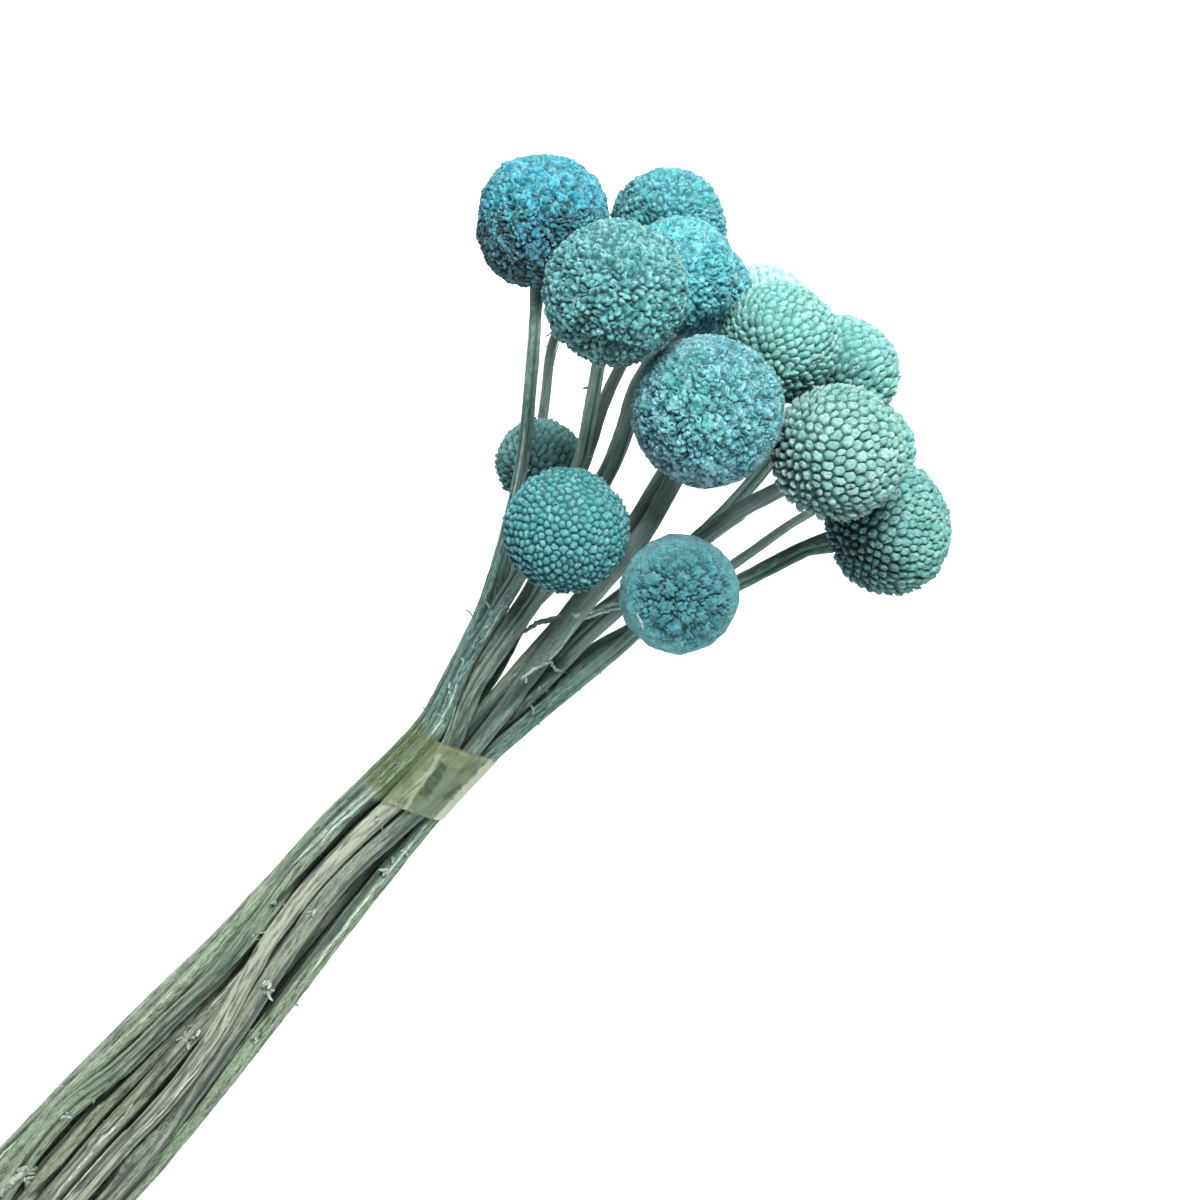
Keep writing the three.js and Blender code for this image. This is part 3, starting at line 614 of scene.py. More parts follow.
# the third colour is painted shade for furrows and gaps, also used for dark streaks
STEM_SKIN = skin_material("dried_stem_skin", (108, 125, 103), (58, 102, 93), (22, 36, 28), (182, 198, 178),
                          0.56, bump=1.0, reach=0.45)
FLAKE_SKIN = skin_material("peeling_skin", (146, 160, 142), (104, 134, 126), (80, 96, 82), (196, 206, 192),
                           0.75, bump=0.6, reach=0.2)
TORN_SKIN = skin_material("torn_skin", (138, 152, 138), (116, 146, 142), (80, 100, 88), (186, 198, 186),
                          0.7, bump=0.6, reach=0.2)


# ---- flower heads ----

def hull_of(name):
    """The skin that a head's florets reach up to: the convex hull of its CAD solid."""
    shape = bmesh.new()
    for corner in node_corners(name):
        shape.verts.new(corner)
    bmesh.ops.convex_hull(shape, input=shape.verts)
    skin = BVHTree.FromBMesh(shape)
    shape.free()
    return skin


def spiral(count):
    """Directions spread evenly over a ball, from +Z down, in the spiral in which florets grow."""
    place = np.arange(count) + 0.5
    height = 1 - 2 * place / count
    across = np.sqrt(1 - height**2)
    turn = place * GOLDEN_ANGLE
    return np.stack([across * np.cos(turn), across * np.sin(turn), height], 1)


def frame_along(axis):
    """Three perpendicular directions, the last of them along axis."""
    helper = np.array([0.0, 0.0, 1.0]) if abs(axis[2]) < 0.9 else np.array([1.0, 0.0, 0.0])
    side = unit(np.cross(helper, axis))
    return np.stack([side, np.cross(axis, side), axis])


def triangles_between(directions):
    """Triangles that join each floret to its neighbours, seen from outside anticlockwise."""
    shape = bmesh.new()
    for direction in directions:
        shape.verts.new(direction)
    shape.verts.index_update()
    bmesh.ops.convex_hull(shape, input=shape.verts)
    triangles = np.array([[v.index for v in f.verts] for f in shape.faces])
    shape.free()
    a, b, c = (directions[triangles[:, i]] for i in range(3))
    inside_out = np.einsum("nd,nd->n", np.cross(b - a, c - a), a + b + c) < 0
    triangles[inside_out] = triangles[inside_out][:, ::-1]
    return triangles


def net_of(florets):
    """The triangles that join florets, and lists that tell what lies round each of their corners.

    Corner j stands in floret one[j] and its triangle goes on to floret two[j]. after[j] is the next
    corner round the same floret, and twin[j] is the corner across the seam between the two florets.
    """
    triangles = triangles_between(florets)
    count = len(florets)
    one, two, three = (np.roll(triangles, -i, axis=1).ravel() for i in range(3))
    key = one * count + two
    order = np.argsort(key)
    after = order[np.searchsorted(key[order], one * count + three)]
    twin = order[np.searchsorted(key[order], two * count + one)]
    return triangles, one, two, after, twin


def clumps_of(directions, size, radius, random):
    """The clump that each floret stands in, and how far it is from that clump's middle, by its size."""
    count = max(int(4 * math.pi * radius**2 / (FLORET_ROOM * size**2)), 12)
    middles = unit(spiral(count) + random.normal(0, 0.3 * size / radius, (count, 3)))
    apart = np.arccos(np.clip(directions @ middles.T, -1, 1)) * radius / size
    clump = np.argmin(apart, axis=1)
    return clump, apart[np.arange(len(directions)), clump]


def make_head(label, look, neck):
    """One flower head: a closed skin of domed florets, each as wide as its neighbours leave room for."""
    name = f"head_{label}"
    style = STYLES[look["style"]]
    random = np.random.default_rng(int(label) * 17 + 3)
    skin = hull_of(name)
    low, high = (np.array(corner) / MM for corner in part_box(name))
    facing = unit(neck["end"] - neck["skin"])
    centre = (low + high) / 2
    radius = float(np.mean(high - low)) / 2
    to_neck = unit(neck["end"] - centre)

    spacing = look["spacing"]
    count = int(4 * math.pi * radius**2 / (FLORET_ROOM * spacing**2))
    grown = unit(spiral(count) + random.normal(0, style["stray"] * spacing / radius, (count, 3)))
    florets = grown @ frame_along(facing)

    triangles, one, two, after, twin = net_of(florets)
    corner = np.arange(len(one))
    triangle = corner // 3

    clump, apart = clumps_of(florets, style["clump"], radius, random)
    crack_at = unit(np.array(look.get("crack_at", (0, 0, 1))))
    cracked = ease(florets @ crack_at, *look["cracked"]) if "cracked" in look else np.ones(count)
    here, there = clump[one], clump[two]
    pair = (np.minimum(here, there) * PAIR_STEP + np.maximum(here, there)) % PAIRS
    open_by = (random.random(PAIRS) ** style["closed"])[pair] * (here != there)
    open_by = open_by * np.minimum(cracked[one], cracked[two])
    sink = style["uneven"] * random.random(count) ** 1.5 + style["dome"] * apart**2 * cracked

    pits = unit(florets[triangles].sum(1))
    gaps = unit(florets[one] + florets[two])
    chance = random.random(len(one))[np.minimum(corner, twin)]
    seam = np.where(chance < style["joined"], SHALLOW_SEAM, FULL_SEAM[0] + FULL_SEAM[1] * chance)
    seam = np.maximum(seam, open_by)
    pit_seam = np.median(seam.reshape(-1, 3), axis=1)
    crease = style["crease"] * spacing
    pit_open = open_by.reshape(-1, 3).max(1)
    pit_depth = crease * PIT_DEEPER * pit_seam + style["crack"] * pit_open + sink[triangles].mean(1)
    gap_depth = crease * seam + style["crack"] * open_by + (sink[one] + sink[two]) / 2
    room_to_gap = np.linalg.norm(gaps - florets[one], axis=1)
    room_to_pit = np.linalg.norm(pits[triangle] - florets[one], axis=1)
    room = np.bincount(one, room_to_gap, count) / np.bincount(one, minlength=count)

    lean = facing[None] - florets * (florets @ facing)[:, None]
    low_down = 1 - ease(florets[one] @ facing, -0.2, 0.7)
    shared, edge = np.unique(np.minimum(corner, twin), return_inverse=True)
    pinched = style["dimple"]
    # the tip mask falls to its lowest in pits and seams, where the felt paints shade
    rows = [(florets, sink + pinched * spacing, np.full(count, 1 - 3 * pinched), np.arange(count)),
            (pits, pit_depth, 1 - pit_seam, None),
            (gaps[shared], gap_depth[shared], 1 - seam[shared], None)]
    pit_corner = count + triangle
    gap_corner = count + len(pits) + edge
    filled = count + len(pits) + len(shared)
    rings = []
    for share, fall, tip in style["profile"]:
        ring = []
        for goal, distance, deep in ((gaps, room_to_gap, seam),
                                     (pits[triangle], room_to_pit, pit_seam[triangle])):
            rounded = np.minimum(distance, room[one]) / distance
            pull = share * (1 - style["round"] + style["round"] * rounded)
            pull = pull * random.normal(1, 0.05, len(one))
            pull = pull * (1 - style["gape"] * low_down)
            rough = random.normal(0, style["fuzz"], len(one))
            place = florets[one] + (goal - florets[one]) * pull[:, None]
            steep = 0.3 + 0.7 * deep
            fallen = sink[one] + fall * spacing * steep + rough
            rows.append((unit(place), fallen, 1 - (1 - tip) * steep, one))
            ring.append(filled + corner)
            filled += len(one)
        rings.append(ring)
    rings.append([gap_corner, pit_corner])

    towards = np.concatenate([row[0] for row in rows])
    depth = np.concatenate([row[1] for row in rows])
    tip = np.concatenate([row[2] for row in rows])
    owner = np.concatenate([np.full(len(row[0]), -1) if row[3] is None else row[3] for row in rows])
    tone = np.append(random.random(count), 0.5)[owner]
    lean = np.vstack([lean, np.zeros(3)])[owner] * (style["lean"] * spacing / radius * tip**2)[:, None]
    from_neck = np.arccos(np.clip(towards @ to_neck, -1, 1)) * radius
    depth = depth + NECK_DIMPLE * (1 - ease(from_neck, neck["radius"], neck["radius"] + DIMPLE_REACH))
    towards = unit(towards + lean)
    slits = slits_at(towards * radius, style["curl"], random)
    depth = depth + style["wool"] * slits
    # slits lose the tip's colour, so the felt paints shade in them
    tip = tip * (1 - min(1.1 * style["wool"], 1) * slits)
    reach = np.array([skin.ray_cast(Vector(centre), Vector(d))[3] for d in towards])
    corners = centre + towards * (reach * HEAD_SWELL + HEAD_PROUD - depth)[:, None]
    corners[:, 2] = np.maximum(corners[:, 2], 0)

    near_gap, near_pit = rings[0]
    fans = [np.stack([one, near_gap, near_pit], 1), np.stack([one, near_pit, near_gap[after]], 1)]
    quads = []
    for (gap, pit), (outer_gap, outer_pit) in zip(rings, rings[1:]):
        quads.append(np.stack([gap, outer_gap, outer_pit, pit], 1))
        quads.append(np.stack([pit, outer_pit, outer_gap[after], gap[after]], 1))
    piece = make_piece(f"florets_{label}", corners, [*fans, *quads], FELT[look["felt"]],
                       {"tip": tip, "tone": tone, "crown": (towards @ facing + 1) / 2})
    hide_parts(name)


# ---- stems ----

def stem_rings(name):
    """Middles and thicknesses of the rings of a CAD stem, in order from its cut end to its head."""
    corners = node_corners(name)
    left = list(range(len(corners)))
    rings = []
    while left:
        ring = [left.pop()]
        for i in ring:
            near = [j for j in left if np.linalg.norm(corners[j] - corners[i]) < RING_REACH]
            ring += near
            left = [j for j in left if j not in near]
        points = corners[ring]
        middle = points.mean(0)
        rings.append((middle, np.linalg.norm(points - middle, axis=1).mean()))
    rings.sort(key=lambda ring: ring[0][0])
    line = [rings.pop(0)]
    while rings:
        nearest = min(range(len(rings)), key=lambda i: np.linalg.norm(rings[i][0] - line[-1][0]))
        line.append(rings.pop(nearest))
    return np.array([p for p, _ in line]), np.array([r for _, r in line])


def smooth_line(points, radii, step):
    """Points and thicknesses every step along a smooth curve through the rings."""
    chord = np.concatenate([[0], np.cumsum(np.linalg.norm(np.diff(points, axis=0), axis=1))])
    slope = np.gradient(points, chord, axis=0)
    where = np.linspace(0, chord[-1], int(chord[-1] / step) + 1)
    i = np.clip(np.searchsorted(chord, where, side="right") - 1, 0, len(chord) - 2)
    gap = (chord[i + 1] - chord[i])[:, None]
    t = ((where - chord[i]) / gap[:, 0])[:, None]
    curve = ((2 * t**3 - 3 * t**2 + 1) * points[i] + (t**3 - 2 * t**2 + t) * gap * slope[i]
             + (3 * t**2 - 2 * t**3) * points[i + 1] + (t**3 - t**2) * gap * slope[i + 1])
    return where, curve, np.interp(where, chord, radii)


def carried_frames(curve):
    """Two directions across a curve at each of its points, without twist."""
    forward = unit(np.gradient(curve, axis=0))
    side = unit(np.cross(forward[0], [0, 0, 1.0]))
    sides = []
    for direction in forward:
        side = unit(side - direction * (side @ direction))
        sides.append(side)
    sides = np.array(sides)
    return forward, sides, np.cross(forward, sides)


def tube_faces(rows, sides):
    """Faces of a closed tube of rings, ended with a fan at each end around a middle corner."""
    here = np.arange(sides)
    after = (here + 1) % sides
    row = np.arange(rows - 1)[:, None] * sides
    quads = np.stack([row + here, row + after, row + sides + after, row + sides + here], -1)
    top = (rows - 1) * sides
    first = np.full(sides, rows * sides)
    fans = np.concatenate([np.stack([after, here, first], 1),
                           np.stack([here + top, after + top, first + 1], 1)])
    return quads.reshape(-1, 4), fans


def stain_at(corners):
    """How much the film has tinted the stems yellow green: most on the side where it is one layer."""
    x, y, z = (np.asarray(corners) - TIE_MIDDLE).T
    inside = ease(x, *TINT_ENDS[0]) * (1 - ease(x, *TINT_ENDS[1]))
    return inside * (TINT_LEAST + (1 - TINT_LEAST) * ease(y, *TINT_SIDE)) * ease(z, *TINT_UNDER)


def rise_at(corners, paler=USUAL_PAINTED_LIGHT):
    """How far up the stems corners are: from 0 to 1 as the dye sets in, and more where painted light makes
    them lighter below the heads.
    """
    from_tie = np.asarray(corners)[:, 0] - TIE_MIDDLE[0]
    return ease(from_tie, *DYED_FROM) + paler * ease(from_tie, *PAINTED_LIGHT_FROM)


def paint_at(label, corners):
    """How bleached, brown and dyed a stem is at each corner."""
    paint = np.tile(STEM_PAINTS[label], (len(corners), 1))
    from_tie = np.asarray(corners)[:, 0] - TIE_MIDDLE[0]
    for column, (gone, *reach) in enumerate((BLEACH_GOES, BROWN_GOES)):
        paint[:, column] *= 1 - gone * ease(from_tie, *reach)
    paint[:, 2] *= ease(from_tie, *DYE_SETS_IN)
    deeper, more, begins, ends = DYED_DEEPER
    if label == deeper:
        paint[:, 2] += more * ease(from_tie, *begins) * (1 - ease(from_tie, *ends))
    return paint


def seen_at(pixel, heights):
    """The points at heights above the table that the camera sees at a pixel."""
    across, down = (np.array(pixel) - PIXELS_ACROSS / 2) * SENSOR / LENS / PIXELS_ACROSS
    ray = IMAGE_RIGHT * across - IMAGE_UP * down - [0, 0, 1]
    return EYE + np.multiply.outer(EYE[2] - np.asarray(heights), ray)


def gap_at(corners):
    """How deep in a gap between stems corners lie, from 0 to 1; the gaps are carved in and painted dark as
    shade.
    """
    deep = np.zeros(corners.shape[:-1])
    for half, dark, pixels in SHADED_GAPS:
        path = [seen_at(pixel, corners[..., 2])[..., :2] for pixel in pixels]
        for one, two in zip(path, path[1:]):
            along = two - one
            aside = corners[..., :2] - one
            share = np.clip((aside * along).sum(-1) / (along**2).sum(-1), 0, 1)
            off = np.linalg.norm(aside - along * share[..., None], axis=-1)
            deep = np.maximum(deep, dark * (1 - ease(off, half * 0.6, half * 1.3)))
    return deep


def rings_round(curve, side, up, angle, radius):
    """Rings of corners round a curve, each corner at its angle and radius."""
    out = np.cos(angle)[..., None] * side[:, None] + np.sin(angle)[..., None] * up[:, None]
    return curve[:, None] + radius[..., None] * out


def make_stem(label):
    """One dried stem: ribbed, furrowed skin over the CAD stem's own line and thickness."""
    name = f"stem_{label}"
    random = np.random.default_rng(int(label) * 31 + 5)
    points, radii = stem_rings(name)
    points[-1] += unit(points[-1] - points[-2]) * STEM_INTO_HEAD
    where, curve, thick = smooth_line(points, radii, STEM_STEP)
    forward, side, up = carried_frames(curve)
    ribs = int(random.choice(STEM_RIBS))
    sides = ribs * RIB_CORNERS
    rows = len(where)

    turn = np.arange(sides) * 2 * math.pi / sides
    twist = 0.004 * where * random.uniform(-1, 1) + random.uniform(0, 6)
    angle = turn[None] + twist[:, None] + 0.06 * soft_noise(random, rows, sides, 14, 4)
    depth = np.clip(0.55 + 0.85 * soft_noise(random, rows, ribs, 18, ribs), 0.05, 1.2)
    depth = np.roll(np.repeat(depth, RIB_CORNERS, axis=1), -RIB_CORNERS // 2, axis=1)
    furrow = np.tile(IN_FURROW, ribs) * depth
    swell = 0.06 * soft_noise(random, rows, sides, 20, 3) + 0.045 * soft_noise(random, rows, sides, 3.3, 6)
    swell = swell + random.normal(0, 0.02, (rows, sides))
    radius = thick[:, None] * (STEM_SWELL - FURROW_DEPTH * furrow + swell)
    ring = rings_round(curve, side, up, angle, radius)
    gap = gap_at(ring) * ease(ring[..., 2] - curve[:, None, 2], -0.6, 0.4)
    # painted shade: gaps take the dark furrow colour
    furrow = np.maximum(furrow, gap)
    radius = radius * (1 - GAP_DEPTH * gap)
    ring = rings_round(curve, side, up, angle, radius)
    ring[0] += forward[0] * (0.5 * thick[0] * np.sin(turn))[:, None]
    corners = ring.reshape(-1, 3)
    ends = np.array([curve[0] + forward[0] * 0.4, curve[-1]])
    corners = np.concatenate([corners, ends])
    corners[:, 2] = np.maximum(corners[:, 2], LOWEST_SKIN)
    quads, fans = tube_faces(rows, sides)

    along = np.tile(where[:, None], sides)
    straight = np.stack([along, radius * np.cos(angle), radius * np.sin(angle)], -1)
    straight = np.concatenate([straight.reshape(-1, 3), [[where[0], 0, 0], [where[-1], 0, 0]]])
    straight[:, 2] += STREAKS_APART * int(label)
    rise = np.repeat(rise_at(curve, PAINTED_LIGHT_SHARES.get(label, USUAL_PAINTED_LIGHT)), sides)
    rise = np.concatenate([rise, [0, BELOW_HEADS]])
    furrow = np.concatenate([furrow.ravel(), [0, 1]])
    tone = np.full(len(corners), random.random())
    paint = paint_at(label, corners)
    # painted shade: gaps below the tie are painted dark teal
    paint[:rows * sides, 2] += GAP_SHADE_TEAL * (gap * (ring[..., 0] < TIE_MIDDLE[0])).ravel()
    paint[rows * sides] = PITH
    piece = make_piece(f"stalk_{label}", corners, [quads, fans], STEM_SKIN,
                       {"straight": straight, "rise": rise, "furrow": furrow, "tone": tone,
                        "paint": paint, "stain": stain_at(corners)})
    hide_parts(name)
    return dict(curve=curve, forward=forward, side=side, up=up, thick=thick, where=where,
                end=points[-1], skin=points[-2], radius=radii[-2])


def strap(line, out, width, height):
    """Corners, quads and end fans of a closed four-sided strap along a line, facing out."""
    forward = unit(np.gradient(line, axis=0))
    across = unit(np.cross(out, forward))
    up = np.cross(forward, across)
    across = across * np.asarray(width)[:, None] / 2
    up = up * np.asarray(height)[:, None] / 2
    rows = np.stack([line - across, line - up, line + across, line + up], 1)
    return np.concatenate([rows.reshape(-1, 3), line[:1], line[-1:]]), *tube_faces(len(line), 4)


def flake(base, out, forward, length, width, curl, random):
    """One bit of skin that has come off at one end and curls up over its root."""
    t = np.linspace(0, 1, FLAKE_ROWS)
    bend = max(curl, 0.05) * t
    across = np.cross(out, forward)
    sway = random.uniform(-0.35, 0.35) * t**2
    line = base + length * (forward * (np.sin(bend) / bend[-1])[:, None] + across * sway[:, None]
                            + out * ((1 - np.cos(bend)) / bend[-1])[:, None])
    taper = np.sin(np.pi * np.clip(t * 0.82 + 0.12, 0, 1)) ** 0.5 * random.uniform(0.8, 1.2, FLAKE_ROWS)
    facing = unit(out * np.cos(bend)[:, None] - forward * np.sin(bend)[:, None])
    return strap(line, facing, width * taper, np.full(FLAKE_ROWS, FLAKE_THICKNESS))


def flakes_on(stem, count, random):
    """Flakes strewn along one stem, most of them small."""
    found = []
    for _ in range(count):
        at = random.integers(3, len(stem["where"]) - 8)
        turn = random.uniform(0, 2 * math.pi)
        out = stem["side"][at] * math.cos(turn) + stem["up"][at] * math.sin(turn)
        slant = random.uniform(-0.8, 0.8) + math.pi * (random.random() < 0.4)
        along = stem["forward"][at]
        forward = along * math.cos(slant) + np.cross(out, along) * math.sin(slant)
        base = stem["curve"][at] + out * stem["thick"][at] * 0.92
        length = 0.8 + 2.6 * random.random() ** 1.6
        if gap_at(base) < FLAKES_KEEP_OUT:
            width, curl = random.uniform(0.3, 0.9), random.uniform(0.3, 2.2)
            found.append(flake(base, out, forward, length, width, curl, random))
    return found


def threads_on(stem, count, random):
    """Long narrow strips of skin that have split off and lie along one stem."""
    found = []
    for _ in range(count):
        rows = int(random.integers(10, 34))
        at = np.arange(rows) + int(random.integers(2, len(stem["where"]) - rows - 8))
        turn = random.uniform(0, 2 * math.pi) + np.cumsum(random.normal(0, 0.07, rows))
        out = stem["side"][at] * np.cos(turn)[:, None] + stem["up"][at] * np.sin(turn)[:, None]
        share = np.linspace(0, 1, rows)
        lie = stem["thick"][at] * random.uniform(0.96, 1.04) + random.uniform(0.0, 0.5) * share**6
        taper = np.sin(np.pi * np.clip(share * 0.94 + 0.03, 0, 1)) ** 0.4
        width = random.uniform(0.4, 1.0) * taper * random.uniform(0.8, 1.2, rows)
        found.append(strap(stem["curve"][at] + out * lie[:, None], out, width, 0.5 * taper))
    return found


def bracts_round(neck, count, random):
    """The small pointed scales that sit under a head, round its neck."""
    axis = unit(neck["end"] - neck["skin"])
    side, up, _ = frame_along(axis)
    found = []
    for i in range(count):
        turn = (i + random.uniform(-0.3, 0.3)) * 2 * math.pi / count
        out = side * math.cos(turn) + up * math.sin(turn)
        base = neck["end"] - axis * random.uniform(1.6, 3.2) + out * neck["radius"] * 0.9
        length, width = random.uniform(2.4, 3.6), random.uniform(0.9, 1.5)
        found.append(flake(base, out, axis, length, width, 0.9, random))
    return found


def make_bits(name, bits, material):
    """One piece of many small straps of skin."""
    sizes = [len(corners) for corners, _, _ in bits]
    starts = np.concatenate([[0], np.cumsum(sizes)[:-1]])
    corners = np.concatenate([corners for corners, _, _ in bits])
    corners[:, 2] = np.maximum(corners[:, 2], LOWEST_BIT)
    quads = np.concatenate([quads + start for (_, quads, _), start in zip(bits, starts)])
    fans = np.concatenate([fans + start for (_, _, fans), start in zip(bits, starts)])
    tone = np.repeat(np.random.default_rng(len(bits)).random(len(bits)), sizes)
    piece = make_piece(name, corners, [quads, fans], material,
                       {"straight": corners, "rise": rise_at(corners), "furrow": np.zeros(len(corners)),
                        "tone": tone, "paint": np.zeros((len(corners), 3)), "stain": stain_at(corners)})


# ---- torn skin, fibres and straws ----

def stem_seen_at(stems, pixel):
    """The uppermost stem at a pixel, its row there, and where and which way its skin faces, or None."""
    best = None
    for stem in stems.values():
        middles, thick = stem["curve"], stem["thick"]
        aside = seen_at(pixel, middles[:, 2]) - middles
        far = np.hypot(aside[:, 0], aside[:, 1])
        row = int(np.argmin(far / thick))
        if far[row] < thick[row] and (best is None or middles[row, 2] > best[4]):
            out = unit([aside[row, 0], aside[row, 1], math.sqrt(thick[row] ** 2 - far[row] ** 2)])
            best = (stem, row, middles[row] + out * thick[row], out, middles[row, 2])
    return best


def torn_bits(stems, random):
    """The flakes that hang where skin is torn."""
    found = []
    for x, y, count, size in TORN_AT:
        for _ in range(count):
            spot = np.array([x, y]) + random.normal(0, TORN_SPREAD * size, 2)
            seen = stem_seen_at(stems, spot)
            if seen is None or gap_at(seen[2]) > TORN_KEEP_OUT:
                continue
            stem, row, skin, out, _ = seen
            slant = random.uniform(-0.9, 0.9) + math.pi * (random.random() < 0.5)
            along = stem["forward"][row]
            along = unit(along - out * (along @ out))
            forward = along * math.cos(slant) + np.cross(out, along) * math.sin(slant)
            found.append(flake(skin - out * 0.15, out, forward, size * random.uniform(0.9, 2.0),
                               size * random.uniform(0.45, 0.95), random.uniform(0.2, 1.2), random))
    return found


def husk_on_head(label, start, end, width, random):
    """A pale husk caught on a head, from one pixel of the camera's view to another."""
    skin = hull_of(f"head_{label}")
    one, two = (skin.ray_cast(Vector(EYE), Vector(unit(seen_at(pixel, 0) - EYE))) for pixel in (start, end))
    base, out = np.array(one[0]), np.array(one[1])
    along = np.array(two[0]) - base
    along -= out * (along @ out)
    length = float(np.linalg.norm(along))
    return flake(base + out * 0.2, out, along / length, length, width, 0.35, random)


def fibre_bits(stems, fibres, random):
    """Loose fibres that lie over the stems below them."""
    found = []
    for thickness, pixels in fibres:
        pixels = np.array(pixels, float)
        stops = np.arange(len(pixels))
        fine = np.linspace(0, stops[-1], 8 * len(pixels))
        passed = np.stack([np.interp(fine, stops, pixels[:, axis]) for axis in (0, 1)], 1)
        ends = [stem_seen_at(stems, pixels[0]), stem_seen_at(stems, pixels[-1])]
        tops = [seen[2][2] for seen in ends if seen] or [TIE_MIDDLE[2]]
        heights = np.interp(fine, [0, stops[-1]], [tops[0], tops[-1]])
        for i, pixel in enumerate(passed):
            under = stem_seen_at(stems, pixel)
            if under:
                heights[i] = max(heights[i], under[2][2] + FIBRE_LIFT)
        heights = np.convolve(np.pad(heights, 3, mode="edge"), np.full(7, 1 / 7), mode="valid")
        line = np.array([seen_at(pixel, height) for pixel, height in zip(passed, heights)])
        line += random.normal(0, 0.12, line.shape)
        width = thickness * np.sin(np.pi * np.linspace(0.12, 0.92, len(line))) ** 0.5
        found.append(strap(line, np.tile([0, 0, 1.0], (len(line), 1)), width, width * 0.8))
    return found


# ---- the tie ----

def film_material():
    """Clear film, tinted where it lies double, with painted light and shade: painted shade on one of its
    flat facets, on a dark blotch and on a split, and painted highlights on a crease and a band along its
    side.
    """
    material, nodes, shader = new_material("clear_film")
    place = nodes.add("ShaderNodeTexCoord").outputs["Object"]
    cloud = nodes.noise(place, 300.0, 4.0, 0.6)
    crinkle = nodes.noise(nodes.stretched(place, (1.0, 0.35, 0.35)), 900.0, 3.0)
    from_tie = nodes.add("ShaderNodeMapping", {
        "Vector": place, "Location": tuple(-TIE_MIDDLE), "Scale": (1 / MM, 1 / MM, 1 / MM)}).outputs[0]
    spot = nodes.parts(from_tie)
    x = nodes.plus(spot["X"], nodes.between(cloud, 0.3, 0.7, -0.5, 0.5))
    y = nodes.plus(spot["Y"], nodes.between(crinkle, 0.3, 0.7, -0.2, 0.2))
    slanted = nodes.minus(y, nodes.times(x, 0.17))

    def mark(across, middle, half, low, high):
        """1 on a mark of the film and 0 off it."""
        off = nodes.math("ABSOLUTE", nodes.minus(across, middle))
        inside = nodes.between(off, half * 1.25, half * 0.75)
        begun, left = nodes.between(x, low - 0.4, low + 0.4), nodes.between(x, high + 0.3, high - 0.3)
        return nodes.times(inside, nodes.times(begun, left))

    # painted shade on one of the film's facets, a dark blotch and a split; painted highlight on a crease
    facet_shade = mark(slanted, *FACET_SHADE)
    shade_patch = mark(slanted, *SHADE_PATCH)
    split = mark(nodes.plus(y, nodes.times(x, 0.14)), *SPLIT_SHADE)
    dark = nodes.times(nodes.math("MAXIMUM", shade_patch, split), nodes.between(crinkle, 0.3, 0.6, 0.6, 1.0))
    crease = mark(slanted, *CREASE_HIGHLIGHT)
    # a painted highlight along the film's side where it curves round the stems
    highlight_stripe = nodes.between(y, -7.6, -8.2)
    bright = nodes.math("MAXIMUM", highlight_stripe, nodes.times(crease, 0.6))
    color = nodes.mix(nodes.between(cloud, 0.35, 0.65), srgb(98, 112, 76), srgb(124, 138, 100))
    color = nodes.mix(facet_shade, color, srgb(104, 120, 98))
    color = nodes.mix(dark, color, srgb(48, 64, 44))
    color = nodes.mix(bright, color, srgb(164, 178, 150))
    seen = nodes.plus(0.34, nodes.times(nodes.math("MAXIMUM", dark, bright), 0.24))
    seen = nodes.plus(seen, nodes.times(facet_shade, 0.14))
    layers = nodes.between(nodes.mask("layers"), 0.0, 1.0, 0.12, 1.0)
    nodes.feed(shader.inputs["Base Color"], color)
    nodes.feed(shader.inputs["Alpha"], nodes.times(seen, layers))
    nodes.feed(shader.inputs["Roughness"], nodes.between(crinkle, 0.3, 0.7, 0.25, 0.45))
    relief = nodes.add("ShaderNodeBump", {"Strength": 0.5, "Distance": 0.4 * MM, "Height": crinkle})
    nodes.feed(shader.inputs["Normal"], relief.outputs["Normal"])
    shader.inputs["Coat Weight"].default_value = 0.3
    shader.inputs["Coat Roughness"].default_value = 0.15
    return material


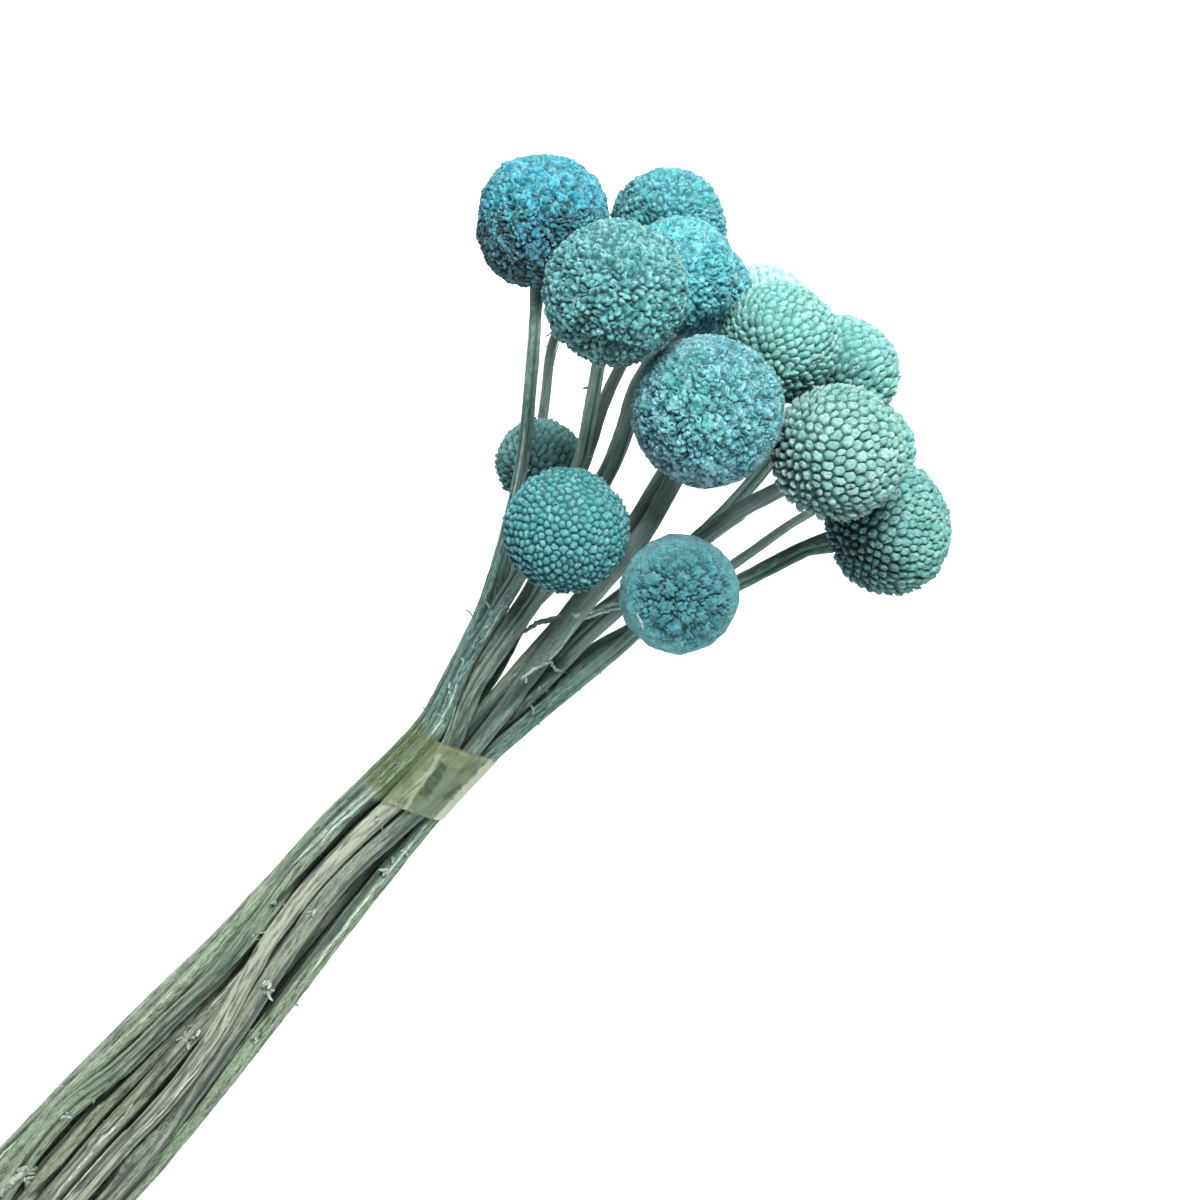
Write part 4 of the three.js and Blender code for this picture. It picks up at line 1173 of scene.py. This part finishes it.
def make_tie():
    """The band of film: wound round the stems a turn and a third, its free end lying on top."""
    across = (node_corners("tie") - TIE_MIDDLE)[:, 1:]
    length = np.hypot(across[:, 0], across[:, 1])
    angle = np.arctan2(across[:, 1], across[:, 0])
    bearings = np.linspace(-math.pi, math.pi, BEARINGS)
    off = np.abs((angle - bearings[:, None] + math.pi) % (2 * math.pi) - math.pi)
    outer = np.where(off < NEAR_BEARING, length, 0).max(1)

    turn = FILM_START + np.linspace(0, 2 * math.pi * FILM_TURNS, FILM_COLUMNS)
    radius = np.interp((turn + math.pi) % (2 * math.pi) - math.pi, bearings, outer)
    lifted = np.linspace(-FILM_TIGHT, -FILM_TIGHT - FILM_CLIMB * FILM_TURNS, FILM_COLUMNS)
    random = np.random.default_rng(77)
    ripple = 0.12 * soft_noise(random, FILM_ROWS, FILM_COLUMNS, 5, 34)
    ripple = ripple + 0.06 * soft_noise(random, FILM_ROWS, FILM_COLUMNS, 3, 90)
    edge = 0.12 * soft_noise(random, FILM_ROWS, FILM_COLUMNS, 20, 50)
    y = np.cos(turn) * (radius + lifted + ripple)
    z = np.sin(turn) * (radius + lifted + ripple)
    share = np.linspace(-0.5, 0.5, FILM_ROWS)[:, None]
    x = FILM_SHIFT + share * FILM_WIDTH + edge - FILM_SLANT * y
    outside = np.stack([x, y, z], -1) + TIE_MIDDLE
    inward = -np.stack([np.zeros(FILM_COLUMNS), np.cos(turn), np.sin(turn)], -1)
    inside = outside + inward * FILM_THICKNESS
    corners = np.concatenate([outside.reshape(-1, 3), inside.reshape(-1, 3)])

    back = FILM_ROWS * FILM_COLUMNS
    grid = np.arange(back).reshape(FILM_ROWS, FILM_COLUMNS)
    sheet = np.stack([grid[:-1, :-1], grid[:-1, 1:], grid[1:, 1:], grid[1:, :-1]], -1).reshape(-1, 4)
    rim = np.concatenate([grid[0, :-1], grid[:-1, -1], grid[-1, :0:-1], grid[:0:-1, 0]])
    border = np.stack([np.roll(rim, -1), rim, rim + back, np.roll(rim, -1) + back], 1)
    doubled = turn - FILM_START < 2 * math.pi * (FILM_TURNS - 1)
    piece = make_piece("film", corners, [sheet[:, ::-1], sheet + back, border], film_material(),
                       {"layers": np.tile(doubled, 2 * FILM_ROWS)})
    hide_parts("tie")


# ---- build ----

stems = {label: make_stem(label) for label in HEADS}
for label, stem in stems.items():
    strewn = np.random.default_rng(int(label) * 53 + 11)
    make_bits(f"peelings_{label}", [
        *flakes_on(stem, FLAKES_PER_STEM, strewn),
        *threads_on(stem, THREADS_PER_STEM, strewn),
        *bracts_round(stem, BRACTS_PER_NECK, strewn),
    ], FLAKE_SKIN)
torn = np.random.default_rng(404)
make_bits("torn_skin", [*torn_bits(stems, torn), husk_on_head(*HUSK, torn)], TORN_SKIN)
make_bits("fibres", fibre_bits(stems, FIBRES, torn), FLAKE_SKIN)
make_bits("straws", fibre_bits(stems, STRAWS, torn), STEM_SKIN)
for label, look in HEADS.items():
    make_head(label, look, stems[label])
make_tie()


# ---- table, light and camera ----

def aim(thing, place, target, up=(0, 0, 1)):
    """Puts a light or camera at place, looking at target, both in millimetres."""
    back = unit(np.array(place) - np.array(target))
    right = unit(np.cross(up, back))
    turn = np.stack([right, np.cross(back, right), back], 1)
    thing.rotation_mode = "QUATERNION"
    thing.rotation_quaternion = Matrix(turn.tolist()).to_quaternion()
    thing.location = Vector(np.array(place) * MM)


def soft_lamp(name, place, target, size, power, color):
    """A round lamp, size millimetres wide, that shines on target."""
    lamp = bpy.data.lights.new(name, "AREA")
    lamp.shape = "DISK"
    lamp.size = size * MM
    lamp.energy = power
    lamp.color = color
    holder = bpy.data.objects.new(name, lamp)
    bpy.context.scene.collection.objects.link(holder)
    aim(holder, place, target)


def make_table():
    """A white table top, bright enough to the camera to show as plain white."""
    mesh = bpy.data.meshes.new("table_top")
    sides = ((-1, -1), (1, -1), (1, 1), (-1, 1))
    corners = [(TABLE_REACH * x, TABLE_REACH * y, TABLE_TOP) for x, y in sides]
    mesh.from_pydata(corners, [], [(0, 1, 2, 3)])
    table = bpy.data.objects.new("table_top", mesh)
    bpy.context.scene.collection.objects.link(table)
    material, nodes, shader = new_material("white_table")
    place = nodes.add("ShaderNodeTexCoord").outputs["Object"]
    faint = nodes.noise(place, 3.0, 2.0)
    nodes.feed(shader.inputs["Base Color"], nodes.mix(faint, srgb(236, 236, 236), srgb(242, 242, 242)))
    shader.inputs["Roughness"].default_value = 0.9
    shader.inputs["Specular IOR Level"].default_value = 0.1
    shader.inputs["Emission Color"].default_value = (1, 1, 1, 1)
    seen = nodes.add("ShaderNodeLightPath").outputs["Is Camera Ray"]
    nodes.feed(shader.inputs["Emission Strength"], nodes.between(seen, 0.0, 1.0, 0.12, 0.8))
    mesh.materials.append(material)


make_table()

lit = TIE_MIDDLE + LIT_FROM_TIE
for name, ((right, up, out), size, power, color) in LAMPS.items():
    direction = unit(IMAGE_UP * up + IMAGE_RIGHT * right + np.array([0, 0, out]))
    soft_lamp(name, lit + LAMP_DISTANCE * direction, lit, size, power, color)

world = bpy.data.worlds.new("studio")
bpy.context.scene.world = world
world.use_nodes = True
background = world.node_tree.nodes["Background"]
background.inputs["Color"].default_value = SKY
background.inputs["Strength"].default_value = SKY_STRENGTH

camera = bpy.data.cameras.new("camera")
camera.lens = LENS
camera.sensor_width = SENSOR
camera.clip_start = 0.01
camera_holder = bpy.data.objects.new("camera", camera)
bpy.context.scene.collection.objects.link(camera_holder)
aim(camera_holder, EYE, EYE - np.array([0, 0, 100]), up=tuple(IMAGE_UP))
bpy.context.scene.camera = camera_holder
bpy.context.scene.view_settings.view_transform = "Standard"
